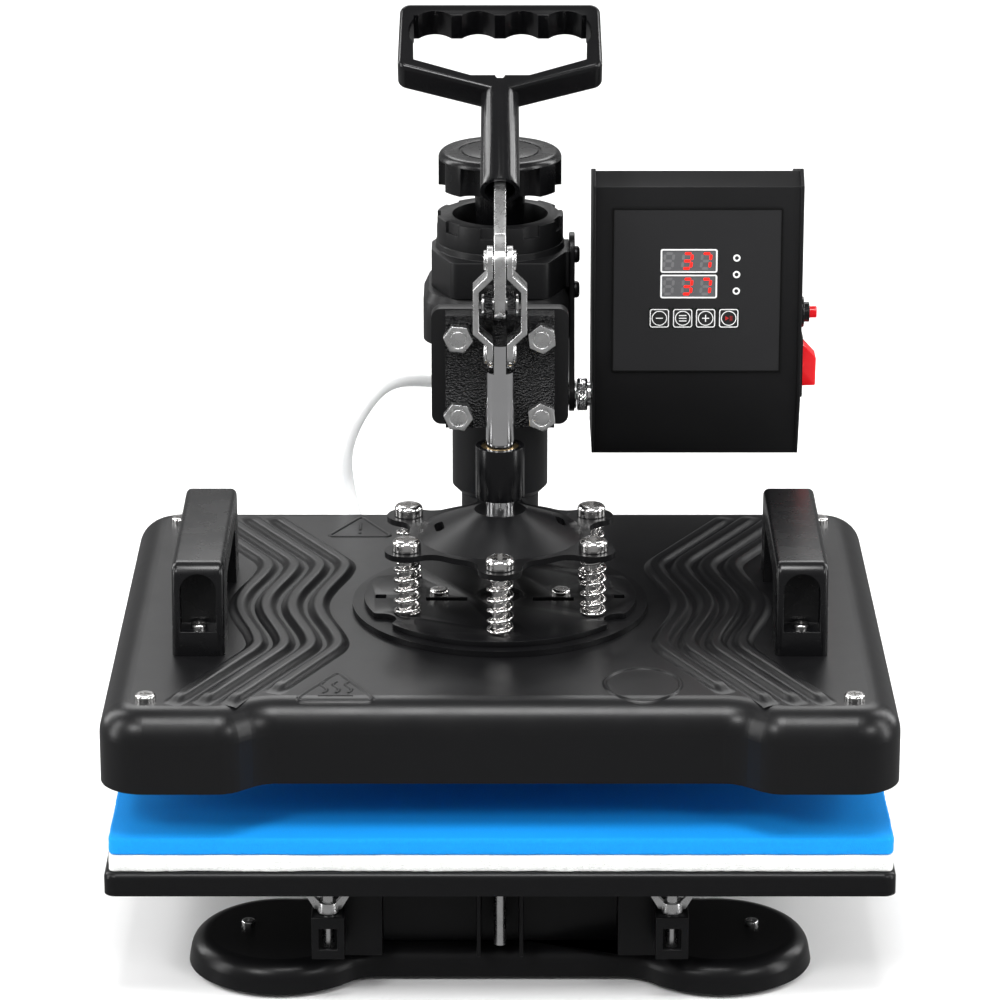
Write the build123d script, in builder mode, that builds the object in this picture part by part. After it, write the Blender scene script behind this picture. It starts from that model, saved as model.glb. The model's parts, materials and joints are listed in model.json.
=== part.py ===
from build123d import *

"""Swing-away heat press: base, lower platen with pads, toggle head, heated platen and controller.

The frame is the middle of the bounding box's bottom face: +X to the operator's right, +Y to the
column, +Z up. Lengths are in millimetres. At rest the lever is back and the press is open.
"""

import os
from math import acos, asin, cos, degrees, pi, radians, sin, sqrt, tan

# ---- driving dimensions ------------------------------------------------------------------
ROD_Y = -45.0  # the ram, the pads and the heated platen are centred on this line
COLUMN_Y = 145.0  # axis of the column that the head swings about

BASE_TOP = 17.0
BASE_REAR = 200.0
TRAY_TOP = 72.6
PAD_X = 380.0
PAD_Y = 300.0
FELT_THICK = 8.6
SPONGE_THICK = 8.8
PAD_TOP = TRAY_TOP + FELT_THICK + SPONGE_THICK  # 90

HOT_FACE = 114.2  # underside of the heated platen
COVER_X = 386.8
COVER_Y = 310.0
COVER_BOTTOM = 115.0
COVER_TOP = 155.0
SHEET = 2.0  # stamped steel

POST_R = 21.0
SLEEVE_R = 26.0
RAM_R = 7.0
TOGGLE_A = 22.7  # fixed fulcrum to lever-link pin
TOGGLE_B = 48.7  # lever-link pin to ram pin
RAM_PIN_Z = 288.8
LINK_PIN_Z = RAM_PIN_Z + TOGGLE_B
FULCRUM_Z = LINK_PIN_Z - TOGGLE_A
LEVER_TURN = 140.0  # degrees from open to closed
LEAN = 35.0  # handle above the horizontal, leaning back, when open
RAM_STROKE = TOGGLE_A - TOGGLE_B - TOGGLE_A * cos(radians(LEVER_TURN)) + sqrt(
    TOGGLE_B**2 - (TOGGLE_A * sin(radians(LEVER_TURN))) ** 2
)
PLATEN_STROKE = HOT_FACE - PAD_TOP - 0.4  # the rest of the ram's stroke compresses the springs
POST_BOLT_R = 54.0  # radius of the six spring posts about the ram

FIT = 0.05  # radial running clearance
LOOSE = 0.1  # radial clearance of a fastener in its hole


# ---- helpers -----------------------------------------------------------------------------
def finish(builder, name):
    """Labels a finished piece and writes its STEP file."""
    builder.part.label = name
    export_step(builder.part, f"parts/{name}.step")


def rod_plane(z):
    """Horizontal plane at height z, centred on the ram."""
    return Plane((0, ROD_Y, z))


def column_plane(z):
    """Horizontal plane at height z, centred on the column."""
    return Plane((0, COLUMN_Y, z))


def cylinder_between(plane, radius, length, mode=Mode.ADD):
    """Cylinder from a plane along its normal, in the part that is being built."""
    with BuildSketch(plane) as round_face:
        Circle(radius)
    extrude(round_face.sketch, amount=length, mode=mode)


def block_between(x0, x1, y0, y1, z0, z1, mode=Mode.ADD):
    """Axis-aligned block between two corners, in the part that is being built."""
    with BuildSketch(Plane(((x0 + x1) / 2, (y0 + y1) / 2, z0))) as footprint:
        Rectangle(x1 - x0, y1 - y0)
    extrude(footprint.sketch, amount=z1 - z0, mode=mode)


def side_profile(points, x0, x1, mode=Mode.ADD):
    """Extrudes a closed (y, z) outline from x0 to x1."""
    with BuildSketch(Plane.YZ.offset(x0)) as outline:
        with BuildLine():
            Polyline(*points, close=True)
        make_face()
    extrude(outline.sketch, amount=x1 - x0, mode=mode)


def slot_between(p, q, width):
    """Round-ended bar between two points, in the sketch that is being built."""
    run = Vector(*q) - Vector(*p)
    angle = degrees(acos(run.X / run.length)) * (1 if run.Y >= 0 else -1)
    middle = (Vector(*p) + Vector(*q)) / 2
    with Locations((middle.X, middle.Y)):
        SlotCenterToCenter(run.length, width, rotation=angle)


def pan_screw(plane, head_r, head_h, shank_r, shank_l, recess):
    """Pan-head screw whose head rests on a plane and whose shank goes down from it."""
    with BuildPart() as screw:
        with BuildSketch(plane):
            Circle(head_r)
        extrude(amount=head_h)
        fillet(edges().group_by(Axis.Z)[-1], head_h * 0.45)
        with BuildSketch(plane.offset(head_h)):
            Rectangle(recess, recess / 5)
            Rectangle(recess / 5, recess)
        extrude(amount=-head_h * 0.45, mode=Mode.SUBTRACT)
        with BuildSketch(plane):
            Circle(shank_r)
        extrude(amount=-shank_l)
    return screw.part


def screw_set(name, screws):
    """Writes a set of identical screws as one node of separate solids."""
    with BuildPart() as group:
        add(screws)
    finish(group, name)


os.makedirs("parts", exist_ok=True)


# ---- base --------------------------------------------------------------------------------
FRONT_LOBE = (108.8, ROD_Y - 93)
FRONT_LOBE_R = 46.5
SPINE_FRONT = ROD_Y - 118
SPINE_REAR = 190.0
REAR_LOBE_R = 45.0
REAR_LOBE = (60.0, BASE_REAR - REAR_LOBE_R)
SPINE_HALF = 80.0
SHELL_BOTTOM = 2.5
FLARE = 10  # degrees that the skirt leans out towards the bench
FOOT_R = 14.0
FEET = [(126, -131), (-126, -131), (75, 157), (-75, 157)]


def base_body(inset, top, rim):
    """The dog-bone plan, inset evenly, raised to a height and rounded at the rim."""
    with BuildSketch(Plane.XY.offset(SHELL_BOTTOM)) as plan:
        with Locations((0, (SPINE_FRONT + SPINE_REAR) / 2)):
            Rectangle(2 * SPINE_HALF, SPINE_REAR - SPINE_FRONT)
        for side in (-1, 1):
            with Locations((side * FRONT_LOBE[0], FRONT_LOBE[1])):
                Circle(FRONT_LOBE_R)
            with Locations((side * REAR_LOBE[0], REAR_LOBE[1])):
                Circle(REAR_LOBE_R)
        fillet(vertices(), 22)
        if inset:
            offset(amount=-inset, mode=Mode.REPLACE)
    extrude(plan.sketch, amount=top - SHELL_BOTTOM, taper=FLARE)
    fillet(faces().sort_by(Axis.Z)[-1].edges(), rim)


with BuildPart() as base_core:
    base_body(SHEET, BASE_TOP - SHEET, 7.5)

with BuildPart() as base_shell:
    base_body(0, BASE_TOP, 9.5)
    add(base_core.part, mode=Mode.SUBTRACT)
    for x, y in FEET:
        cylinder_between(Plane((x, y, BASE_TOP - SHEET - 1)), 2.2, SHEET + 2, Mode.SUBTRACT)
finish(base_shell, "base_shell")

with BuildPart() as rubber_feet:
    for x, y in FEET:
        cylinder_between(Plane((x, y, 0)), FOOT_R, BASE_TOP - SHEET)
        cylinder_between(Plane((x, y, 4)), 2.0 + LOOSE, BASE_TOP, Mode.SUBTRACT)
finish(rubber_feet, "rubber_feet")

screw_set("foot_screws", [
    pan_screw(Plane((x, y, BASE_TOP)), 3.4, 2.0, 2.0, 12.0, 3.6) for x, y in FEET])

# ---- column ------------------------------------------------------------------------------
POST_TOP = 262.0
SCREW_R = 8.0

with BuildPart() as column_post:
    cylinder_between(column_plane(BASE_TOP), 52, 6)
    cylinder_between(column_plane(BASE_TOP + 6), POST_R, POST_TOP - BASE_TOP - 6)
    cylinder_between(column_plane(BASE_TOP), POST_R - 4, POST_TOP - BASE_TOP - 12, Mode.SUBTRACT)
    cylinder_between(column_plane(POST_TOP - 20), SCREW_R + FIT, 30, Mode.SUBTRACT)
finish(column_post, "column_post")

# ---- frame under the lower platen --------------------------------------------------------
FRAME_TOP = 69.4
FRAME_BOTTOM = BASE_TOP
RAIL_OUT = 77.0
RAIL_IN = 58.0
RAIL_FRONT = ROD_Y - 125
RAIL_REAR = ROD_Y + 125
PANEL_Y = ROD_Y - 107
CHANNEL_HALF = 11.5
CHANNEL_FRONT = ROD_Y - 127
STUD_R = 3.0
WING_X = 84.0
WING_Y = ROD_Y - 137
BRACKET_TOP = 46.0
BRACKET_BOTTOM = 24.0

with BuildPart() as support_frame:
    for side in (-1, 1):
        x0, x1 = sorted((side * RAIL_OUT, side * RAIL_IN))
        block_between(x0, x1, RAIL_FRONT, RAIL_REAR, FRAME_BOTTOM, FRAME_TOP)
        block_between(x0 + SHEET, x1 - SHEET, RAIL_FRONT + SHEET, RAIL_REAR + 1,
                      FRAME_BOTTOM - 1, FRAME_TOP - SHEET, Mode.SUBTRACT)
    for side in (-1, 1):
        x0, x1 = sorted((side * RAIL_IN, side * (CHANNEL_HALF - SHEET)))
        block_between(x0, x1, PANEL_Y, PANEL_Y + SHEET, FRAME_BOTTOM, FRAME_TOP)
        x0, x1 = sorted((side * CHANNEL_HALF, side * (CHANNEL_HALF - SHEET)))
        block_between(x0, x1, CHANNEL_FRONT, PANEL_Y + SHEET, FRAME_BOTTOM, FRAME_TOP)
    block_between(-CHANNEL_HALF, CHANNEL_HALF, PANEL_Y, PANEL_Y + SHEET, FRAME_BOTTOM, FRAME_TOP)
    block_between(-RAIL_IN, RAIL_IN, ROD_Y + 100, ROD_Y + 100 + SHEET, FRAME_BOTTOM, FRAME_TOP)
finish(support_frame, "support_frame")

with BuildPart() as wing_brackets:
    for side in (-1, 1):
        x0, x1 = sorted((side * (WING_X - 8), side * (WING_X + 8)))
        front = WING_Y - 8
        block_between(x0, x1, front, RAIL_FRONT, BRACKET_BOTTOM, BRACKET_TOP)
        block_between(x0 + SHEET, x1 - SHEET, front + SHEET, RAIL_FRONT + 1,
                      BRACKET_BOTTOM - 1, BRACKET_TOP - SHEET, Mode.SUBTRACT)
        block_between(side * WING_X - 4.5, side * WING_X + 4.5, front - 1, front + SHEET + 1,
                      BRACKET_BOTTOM + 5, BRACKET_TOP - 6, Mode.SUBTRACT)
        cylinder_between(Plane((side * WING_X, WING_Y, BRACKET_TOP - 5)), STUD_R + LOOSE, 10,
                         Mode.SUBTRACT)
finish(wing_brackets, "wing_brackets")

with BuildPart() as platen_studs:
    for x, y, z in ((-WING_X, WING_Y, 28), (WING_X, WING_Y, 28), (0, ROD_Y - 119, 21)):
        cylinder_between(Plane((x, y, z)), STUD_R, FRAME_TOP - z)
finish(platen_studs, "platen_studs")


def wing_nut(name, x):
    """Wing nut on a stud: a tapered hub with two raised wings."""
    seat = BRACKET_TOP + 0.3
    with BuildPart() as nut:
        with BuildSketch(Plane((x, WING_Y, seat))):
            Circle(5.2)
        extrude(amount=5.2, taper=8)
        with BuildSketch(Plane((x, WING_Y, seat), x_dir=(1, 0, 0), z_dir=(0, -1, 0))):
            for side in (-1, 1):
                with BuildLine():
                    Polyline((side * 2.5, 0.8), (side * 6.5, 1.6), (side * 10.4, 8.2),
                             (side * 7.2, 8.8), (side * 3.4, 4.6), close=True)
                make_face()
        extrude(amount=1.3, both=True)
        cylinder_between(Plane((x, WING_Y, seat - 1)), STUD_R + FIT, 12, Mode.SUBTRACT)
    finish(nut, name)


wing_nut("wing_nut_left", -WING_X)
wing_nut("wing_nut_right", WING_X)

# ---- lower platen and pads ---------------------------------------------------------------
TRAY_X = 384.0
TRAY_Y = 306.0
TRAY_BOTTOM = 61.0

with BuildPart() as lower_platen:
    with BuildSketch(rod_plane(TRAY_BOTTOM)):
        RectangleRounded(TRAY_X, TRAY_Y, 6)
    extrude(amount=TRAY_TOP - TRAY_BOTTOM)
    fillet(faces().sort_by(Axis.Z)[-1].edges(), 3.2)
    with BuildSketch(rod_plane(TRAY_BOTTOM)):
        RectangleRounded(TRAY_X - 6, TRAY_Y - 6, 3)
    extrude(amount=FRAME_TOP - TRAY_BOTTOM, mode=Mode.SUBTRACT)
finish(lower_platen, "lower_platen")

with BuildPart() as felt_pad:
    with BuildSketch(rod_plane(TRAY_TOP)):
        RectangleRounded(PAD_X, PAD_Y, 2)
    extrude(amount=FELT_THICK)
finish(felt_pad, "felt_pad")

with BuildPart() as sponge_pad:
    with BuildSketch(rod_plane(TRAY_TOP + FELT_THICK)):
        RectangleRounded(PAD_X, PAD_Y, 2)
    extrude(amount=SPONGE_THICK)
finish(sponge_pad, "sponge_pad")

# ---- arm casting, thrust collar and housing ----------------------------------------------
SLEEVE_BOTTOM = 154.0
BOSS_BOTTOM = 245.0
BOSS_TOP = 272.0
CAVITY_R = 25.6
COLLAR_TOP = 271.7
BRACKET_X = 37.2  # the flat side that the controller's bracket lies on
ARM_HALF = 25.0
SHOULDER = 6.0  # height of the boss's sloped top edge
FLANGE_BACK = ROD_Y + 25 + 8
FLANGE_FRONT = ROD_Y + 25

with BuildPart() as arm_casting:
    cylinder_between(column_plane(SLEEVE_BOTTOM), SLEEVE_R, BOSS_TOP - SLEEVE_BOTTOM)
    chamfer(faces().sort_by(Axis.Z)[0].edges(), 4)
    with BuildSketch(Plane((0, COLUMN_Y, BOSS_BOTTOM))):
        with Locations((-2, 0)):
            RectangleRounded(2 * 39.2, 74, 22)
    extrude(amount=BOSS_TOP - BOSS_BOTTOM - SHOULDER)
    with BuildSketch(Plane((0, COLUMN_Y, BOSS_TOP - SHOULDER))):
        with Locations((-2, 0)):
            RectangleRounded(2 * 39.2, 74, 22)
    extrude(amount=SHOULDER, taper=25)
    side_profile([(FLANGE_BACK - 1, 247), (COLUMN_Y - 24, 247), (COLUMN_Y - 24, 267),
                  (FLANGE_BACK + 30, 284), (FLANGE_BACK - 1, 300)], -ARM_HALF, ARM_HALF)
    with BuildSketch(Plane((0, FLANGE_BACK, 274.5), x_dir=(1, 0, 0), z_dir=(0, -1, 0))):
        RectangleRounded(69.4, 61, 5)
    extrude(amount=8)
    cylinder_between(column_plane(0), POST_R + FIT, 400, Mode.SUBTRACT)
    cylinder_between(column_plane(254), CAVITY_R, 60, Mode.SUBTRACT)
finish(arm_casting, "arm_casting")

with BuildPart() as lift_collar:
    cylinder_between(column_plane(POST_TOP + 0.4), CAVITY_R - 1.2, COLLAR_TOP - POST_TOP - 0.4)
    cylinder_between(column_plane(POST_TOP), SCREW_R + 0.5, 20, Mode.SUBTRACT)
finish(lift_collar, "lift_collar")

HOUSING_R = 34.4
FACETED_HEIGHT = 20.0
RING_TOP = 310.0
RING_R = 34.0
RING_LUGS = 9  # lugs left standing between the spanner notches in the rim

with BuildPart() as housing_shell:
    with BuildSketch(column_plane(BOSS_TOP)):
        with BuildLine():
            Polyline((25.5, -36), (36.8, -9), (36.8, 9), (25.5, 36), (-25.5, 36), (-36.8, 9),
                     (-36.8, -9), (-25.5, -36), close=True)
        make_face()
        fillet(vertices(), 5)
    extrude(amount=FACETED_HEIGHT)
    with BuildSketch(column_plane(BOSS_TOP + FACETED_HEIGHT)):
        Circle(HOUSING_R)
    extrude(amount=24 - FACETED_HEIGHT)
    with BuildSketch(Plane((0, COLUMN_Y, BOSS_TOP))):
        with Locations((27, 0)):
            Rectangle(2 * (BRACKET_X - 27), 26)
    extrude(amount=FACETED_HEIGHT)
    cylinder_between(column_plane(BOSS_TOP - 1), CAVITY_R, 60, Mode.SUBTRACT)
    cylinder_between(column_plane(BOSS_TOP), CAVITY_R, 4)
    cylinder_between(column_plane(BOSS_TOP - 1), 13, 10, Mode.SUBTRACT)
finish(housing_shell, "housing_shell")

with BuildPart() as lock_ring:
    with BuildSketch(column_plane(BOSS_TOP + 24)):
        Circle(HOUSING_R - 0.4)
    extrude(amount=8)
    with BuildSketch(column_plane(BOSS_TOP + 32)):
        Circle(RING_R)
        with PolarLocations(RING_R + 1, RING_LUGS, start_angle=20):
            Rectangle(6.4, 10, mode=Mode.SUBTRACT)
    extrude(amount=RING_TOP - BOSS_TOP - 32)
    cylinder_between(column_plane(BOSS_TOP), CAVITY_R, 60, Mode.SUBTRACT)
finish(lock_ring, "lock_ring")

# ---- pressure knob -----------------------------------------------------------------------
KNOB_R = 33.0
KNOB_BOTTOM = 325.5
KNOB_HEIGHT = 19.5

with BuildPart() as adjusting_screw:
    cylinder_between(column_plane(200), SCREW_R, KNOB_BOTTOM + 8 - 200)
    chamfer(faces().sort_by(Axis.Z)[0].edges(), 1)
finish(adjusting_screw, "adjusting_screw")

with BuildPart() as pressure_knob:
    with BuildSketch(column_plane(KNOB_BOTTOM)):
        Circle(KNOB_R)
    extrude(amount=KNOB_HEIGHT)
    fillet(faces().sort_by(Axis.Z)[-1].edges(), 4)
    with BuildSketch(column_plane(KNOB_BOTTOM)):
        with PolarLocations(KNOB_R + 2, 7, start_angle=-64):
            Circle(8.6)
    extrude(amount=KNOB_HEIGHT - 4, mode=Mode.SUBTRACT)
    with BuildSketch(column_plane(KNOB_BOTTOM)):
        Circle(14)
    extrude(amount=-45.5, taper=4)
    with BuildSketch(column_plane(KNOB_BOTTOM + KNOB_HEIGHT)):
        Circle(22)
        Circle(20.5, mode=Mode.SUBTRACT)
    extrude(amount=-0.8, mode=Mode.SUBTRACT)
    cylinder_between(column_plane(KNOB_BOTTOM - 60), SCREW_R + FIT, 68, Mode.SUBTRACT)
finish(pressure_knob, "pressure_knob")

# ---- toggle block with guide tube and fork -----------------------------------------------
BLOCK_FRONT = ROD_Y + 14
BLOCK_HALF = 27.5
BLOCK_BOTTOM = 245.5
BLOCK_TOP = 304.5
TUBE_R = 12.25
TUBE_BOTTOM = 214.0
TUBE_TOP = 241.0
EAR_IN = 3.6
EAR_OUT = 7.7
EYE_R = 8.0
BUSH_R = 9.5
BOLTS = [(x, z) for x in (-21, 21) for z in (252.5, 293.5)]

with BuildPart() as toggle_block:
    block_between(-BLOCK_HALF, BLOCK_HALF, BLOCK_FRONT, FLANGE_FRONT, BLOCK_BOTTOM, BLOCK_TOP)
    cylinder_between(rod_plane(TUBE_BOTTOM), TUBE_R, TUBE_TOP - TUBE_BOTTOM)
    side_profile([(ROD_Y + 9, TUBE_BOTTOM + 3), (FLANGE_FRONT - 2, BLOCK_BOTTOM - 8),
                  (FLANGE_FRONT - 2, BLOCK_BOTTOM + 6), (BLOCK_FRONT, BLOCK_BOTTOM + 6),
                  (BLOCK_FRONT, TUBE_TOP - 1), (ROD_Y + 9, TUBE_TOP - 1)], -6, 6)
    for side in (-1, 1):
        x0, x1 = sorted((side * EAR_IN, side * EAR_OUT))
        with BuildSketch(Plane.YZ.offset(x0)):
            with Locations((ROD_Y, FULCRUM_Z)):
                Circle(EYE_R)
            with BuildLine():
                Polyline((ROD_Y, FULCRUM_Z + EYE_R), (BLOCK_FRONT + 6, FULCRUM_Z + 4),
                         (BLOCK_FRONT + 6, BLOCK_TOP - 10), (BLOCK_FRONT, BLOCK_TOP - 8),
                         (ROD_Y + 3, FULCRUM_Z - 7.2), (ROD_Y, FULCRUM_Z), close=True)
            make_face()
        extrude(amount=x1 - x0)
    side_profile([(BLOCK_FRONT - 5, FULCRUM_Z - 12), (BLOCK_FRONT + 6, FULCRUM_Z - 2),
                  (BLOCK_FRONT + 6, 286), (BLOCK_FRONT, 286)], -EAR_IN, EAR_IN)
    cylinder_between(rod_plane(TUBE_BOTTOM - 1), BUSH_R, 60, Mode.SUBTRACT)
    cylinder_between(Plane((-20, ROD_Y, FULCRUM_Z), x_dir=(0, 1, 0), z_dir=(1, 0, 0)), 3.0, 40,
                     Mode.SUBTRACT)
finish(toggle_block, "toggle_block")

with BuildPart() as guide_bush:
    cylinder_between(rod_plane(TUBE_BOTTOM + 1), BUSH_R, TUBE_TOP - TUBE_BOTTOM - 2)
    cylinder_between(rod_plane(TUBE_BOTTOM - 1), RAM_R + FIT, 60, Mode.SUBTRACT)
finish(guide_bush, "guide_bush")

with BuildPart() as block_bolts:
    for x, z in BOLTS:
        plane = Plane((x, BLOCK_FRONT, z), x_dir=(1, 0, 0), z_dir=(0, -1, 0))
        with BuildSketch(plane):
            RegularPolygon(6.5, 6, major_radius=False, rotation=15 + x)
        extrude(amount=5.3)
        with BuildSketch(plane.offset(5.3)):
            Circle(4.6)
            Circle(3.9, mode=Mode.SUBTRACT)
        extrude(amount=-0.3, mode=Mode.SUBTRACT)
finish(block_bolts, "block_bolts")

with BuildPart() as fork_pin:
    pin_plane = Plane((-EAR_OUT - 1.6, ROD_Y, FULCRUM_Z), x_dir=(0, 1, 0), z_dir=(1, 0, 0))
    cylinder_between(pin_plane, 3.0, 2 * EAR_OUT + 3.2)
    for start in (0, 2 * EAR_OUT + 1.6):
        cylinder_between(pin_plane.offset(start), 5.0, 1.6)
finish(fork_pin, "fork_pin")

# ---- lever and handle --------------------------------------------------------------------
BAR_HALF = 3.0
lean = radians(LEAN)
lever_dir = Vector(0, cos(lean), sin(lean))
link_pin = Vector(0, ROD_Y, LINK_PIN_Z)
GRIP_START = 45.0  # along the bar, from the link pin to the tube's open end
BAR_END = 74.0
V_BOTTOM = 103.8
GRIP_TOP = 163.6
GRIP_HALF = 52.5
GRIP_THICK = 18.0
FINGER_R = 13.5


def grip_plane(t):
    """Plane across the handle at a distance t along it from the link pin."""
    return Plane(link_pin + lever_dir * t, x_dir=(1, 0, 0), z_dir=lever_dir)


with BuildPart() as lever_bar:
    with BuildSketch(Plane.YZ):
        slot_between((ROD_Y, FULCRUM_Z), (ROD_Y, LINK_PIN_Z), 14.6)
        bend = (ROD_Y, LINK_PIN_Z)
        elbow = (ROD_Y + 9 * cos(lean), LINK_PIN_Z + 9 * sin(lean))
        slot_between(bend, elbow, 14.0)
        tip = (ROD_Y + (BAR_END - 6) * cos(lean), LINK_PIN_Z + (BAR_END - 6) * sin(lean))
        slot_between(bend, tip, 12.0)
    extrude(amount=BAR_HALF, both=True)
    cylinder_between(pin_plane, 3.0 + FIT, 40, Mode.SUBTRACT)
    cylinder_between(Plane((-20, ROD_Y, LINK_PIN_Z), x_dir=(0, 1, 0), z_dir=(1, 0, 0)), 3.0 + FIT,
                     40, Mode.SUBTRACT)
finish(lever_bar, "lever_bar")

face_plane = Plane(link_pin, x_dir=(1, 0, 0), z_dir=(0, -sin(lean), cos(lean)))
with BuildPart() as handle_grip:
    with BuildSketch(face_plane):
        with BuildLine():
            Polyline((0, V_BOTTOM), (GRIP_HALF, 121), (GRIP_HALF - 1, GRIP_TOP),
                     (1 - GRIP_HALF, GRIP_TOP), (-GRIP_HALF, 121), close=True)
        make_face()
        fillet(vertices().sort_by(Axis.Y)[-4:], 5.5)
        with BuildLine():
            Polyline((-15, 114.2), (-44.5, 125), (-44.5, 155), (44.5, 155), (44.5, 125),
                     (15, 114.2), close=True)
        make_face(mode=Mode.SUBTRACT)
        with Locations(*[(x, 158 - FINGER_R) for x in (-33.6, -11.2, 11.2, 33.6)]):
            Circle(FINGER_R, mode=Mode.SUBTRACT)
        with Locations((0, 114.2)):
            Circle(2.4, mode=Mode.SUBTRACT)
    extrude(amount=GRIP_THICK / 2, both=True)
    fillet(edges().filter_by(Axis.X).sort_by_distance(grip_plane(GRIP_TOP).origin)[:2], 2.5)
    with BuildSketch(grip_plane(GRIP_START)):
        Circle(10.0)
    with BuildSketch(grip_plane(V_BOTTOM + 8)):
        Circle(9.6)
    loft()
    cylinder_between(grip_plane(GRIP_START - 1), 7.6, BAR_END - GRIP_START + 1.5, Mode.SUBTRACT)
finish(handle_grip, "handle_grip")

# ---- links -------------------------------------------------------------------------------
LINK_IN = 3.5
LINK_THICK = 3.0
LINK_BULGE = 10.5
LINK_HALF = 7.2

with BuildPart() as link_plates:
    for side in (-1, 1):
        low = RAM_PIN_Z
        high = LINK_PIN_Z
        with BuildSketch(Plane((0, ROD_Y, 0), x_dir=(1, 0, 0), z_dir=(0, -1, 0))):
            with BuildLine():
                inner = [(LINK_IN, low - LINK_HALF), (LINK_IN, low + 7), (LINK_BULGE, low + 13.5),
                         (LINK_BULGE, high - 15), (LINK_IN, high - 8), (LINK_IN, high + LINK_HALF)]
                outer = [(LINK_IN + LINK_THICK, high + LINK_HALF),
                         (LINK_IN + LINK_THICK, high - 6.6),
                         (LINK_BULGE + LINK_THICK, high - 13.6),
                         (LINK_BULGE + LINK_THICK, low + 12.1),
                         (LINK_IN + LINK_THICK, low + 5.6),
                         (LINK_IN + LINK_THICK, low - LINK_HALF)]
                Polyline(*[(side * x, z) for x, z in inner + outer], close=True)
            make_face()
        extrude(amount=LINK_HALF, both=True)
    with BuildSketch(Plane.YZ.offset(-20)):
        slot_between((ROD_Y, RAM_PIN_Z), (ROD_Y, LINK_PIN_Z), 2 * LINK_HALF)
    extrude(amount=40, mode=Mode.INTERSECT)
    for z in (RAM_PIN_Z, LINK_PIN_Z):
        cylinder_between(Plane((-20, ROD_Y, z), x_dir=(0, 1, 0), z_dir=(1, 0, 0)), 3.0, 40,
                         Mode.SUBTRACT)
finish(link_plates, "link_plates")

HEAD_OUT = LINK_IN + LINK_THICK + 1.6
with BuildPart() as link_rivets:
    for side in (-1, 1):
        direction = (side, 0, 0)
        low_plane = Plane((side * LINK_IN, ROD_Y, RAM_PIN_Z), x_dir=(0, 1, 0), z_dir=direction)
        cylinder_between(low_plane, 3.0, HEAD_OUT - LINK_IN)
        cylinder_between(low_plane.offset(LINK_THICK), 5.0, 1.6)
        high_plane = Plane((side * LINK_IN, ROD_Y, LINK_PIN_Z), x_dir=(0, 1, 0), z_dir=direction)
        cylinder_between(high_plane.offset(LINK_THICK), 5.0, 1.6)
    through = Plane((-LINK_IN - 1, ROD_Y, LINK_PIN_Z), x_dir=(0, 1, 0), z_dir=(1, 0, 0))
    cylinder_between(through, 3.0, 2 * LINK_IN + 2)
    for side in (-1, 1):
        cylinder_between(Plane((side * LINK_IN, ROD_Y, LINK_PIN_Z), x_dir=(0, 1, 0),
                               z_dir=(side, 0, 0)), 3.0, LINK_THICK)
finish(link_rivets, "link_rivets")

# ---- ram and spider ----------------------------------------------------------------------
DOME_TOP = 207.0
NUT_DEPTH = 8.0  # the ram's nut starts this far under the top of the dome
SPIDER_BOTTOM = 191.5
SPIDER_THICK = 3.0
SHOULDER_Z = RAM_PIN_Z - 8.8

with BuildPart() as ram_rod:
    cylinder_between(rod_plane(DOME_TOP), RAM_R, RAM_PIN_Z + 5.8 - DOME_TOP)
    for side in (-1, 1):
        x0, x1 = sorted((side * BAR_HALF, side * 20))
        block_between(x0, x1, ROD_Y - 10, ROD_Y + 10, SHOULDER_Z, RAM_PIN_Z + 20, Mode.SUBTRACT)
    cylinder_between(rod_plane(DOME_TOP - NUT_DEPTH), 4.9, NUT_DEPTH)
    cylinder_between(rod_plane(DOME_TOP - NUT_DEPTH), 7.5, 4)
    cylinder_between(Plane((-20, ROD_Y, RAM_PIN_Z), x_dir=(0, 1, 0), z_dir=(1, 0, 0)), 3.2, 40,
                     Mode.SUBTRACT)
finish(ram_rod, "ram_rod")

with BuildPart() as spider_plate:
    with BuildSketch(rod_plane(SPIDER_BOTTOM)):
        Circle(46)
        with PolarLocations(POST_BOLT_R, 6, start_angle=-90):
            Circle(11)
        fillet(vertices(), 11)
        Circle(38, mode=Mode.SUBTRACT)
    extrude(amount=SPIDER_THICK)
    with BuildSketch(Plane((0, ROD_Y, 0), x_dir=(1, 0, 0), z_dir=(0, -1, 0))):
        with BuildLine():
            Polyline((5, DOME_TOP), (13, DOME_TOP), (42, SPIDER_BOTTOM + SPIDER_THICK),
                     (42, SPIDER_BOTTOM), (37, SPIDER_BOTTOM), (12, DOME_TOP - 3.2),
                     (5, DOME_TOP - 3.2), close=True)
        make_face()
    revolve(axis=Axis((0, ROD_Y, 0), (0, 0, 1)))
    with BuildSketch(rod_plane(SPIDER_BOTTOM)):
        with PolarLocations(POST_BOLT_R, 6, start_angle=-90):
            Circle(4.4)
        with PolarLocations(31, 2, start_angle=8):
            SlotOverall(12, 4.4, rotation=90)
    extrude(amount=30, mode=Mode.SUBTRACT)
finish(spider_plate, "spider_plate")

# ---- heated platen group -----------------------------------------------------------------
DISC_BOTTOM = COVER_TOP + 0.1
DISC_TOP = DISC_BOTTOM + 3
LOBED_TOP = DISC_TOP + 3
RECESS_HALF = 122.0
RECESS_DEPTH = 14.0
COVER_RIM = 15.0
COVER_CORNER = 22.0


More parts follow.
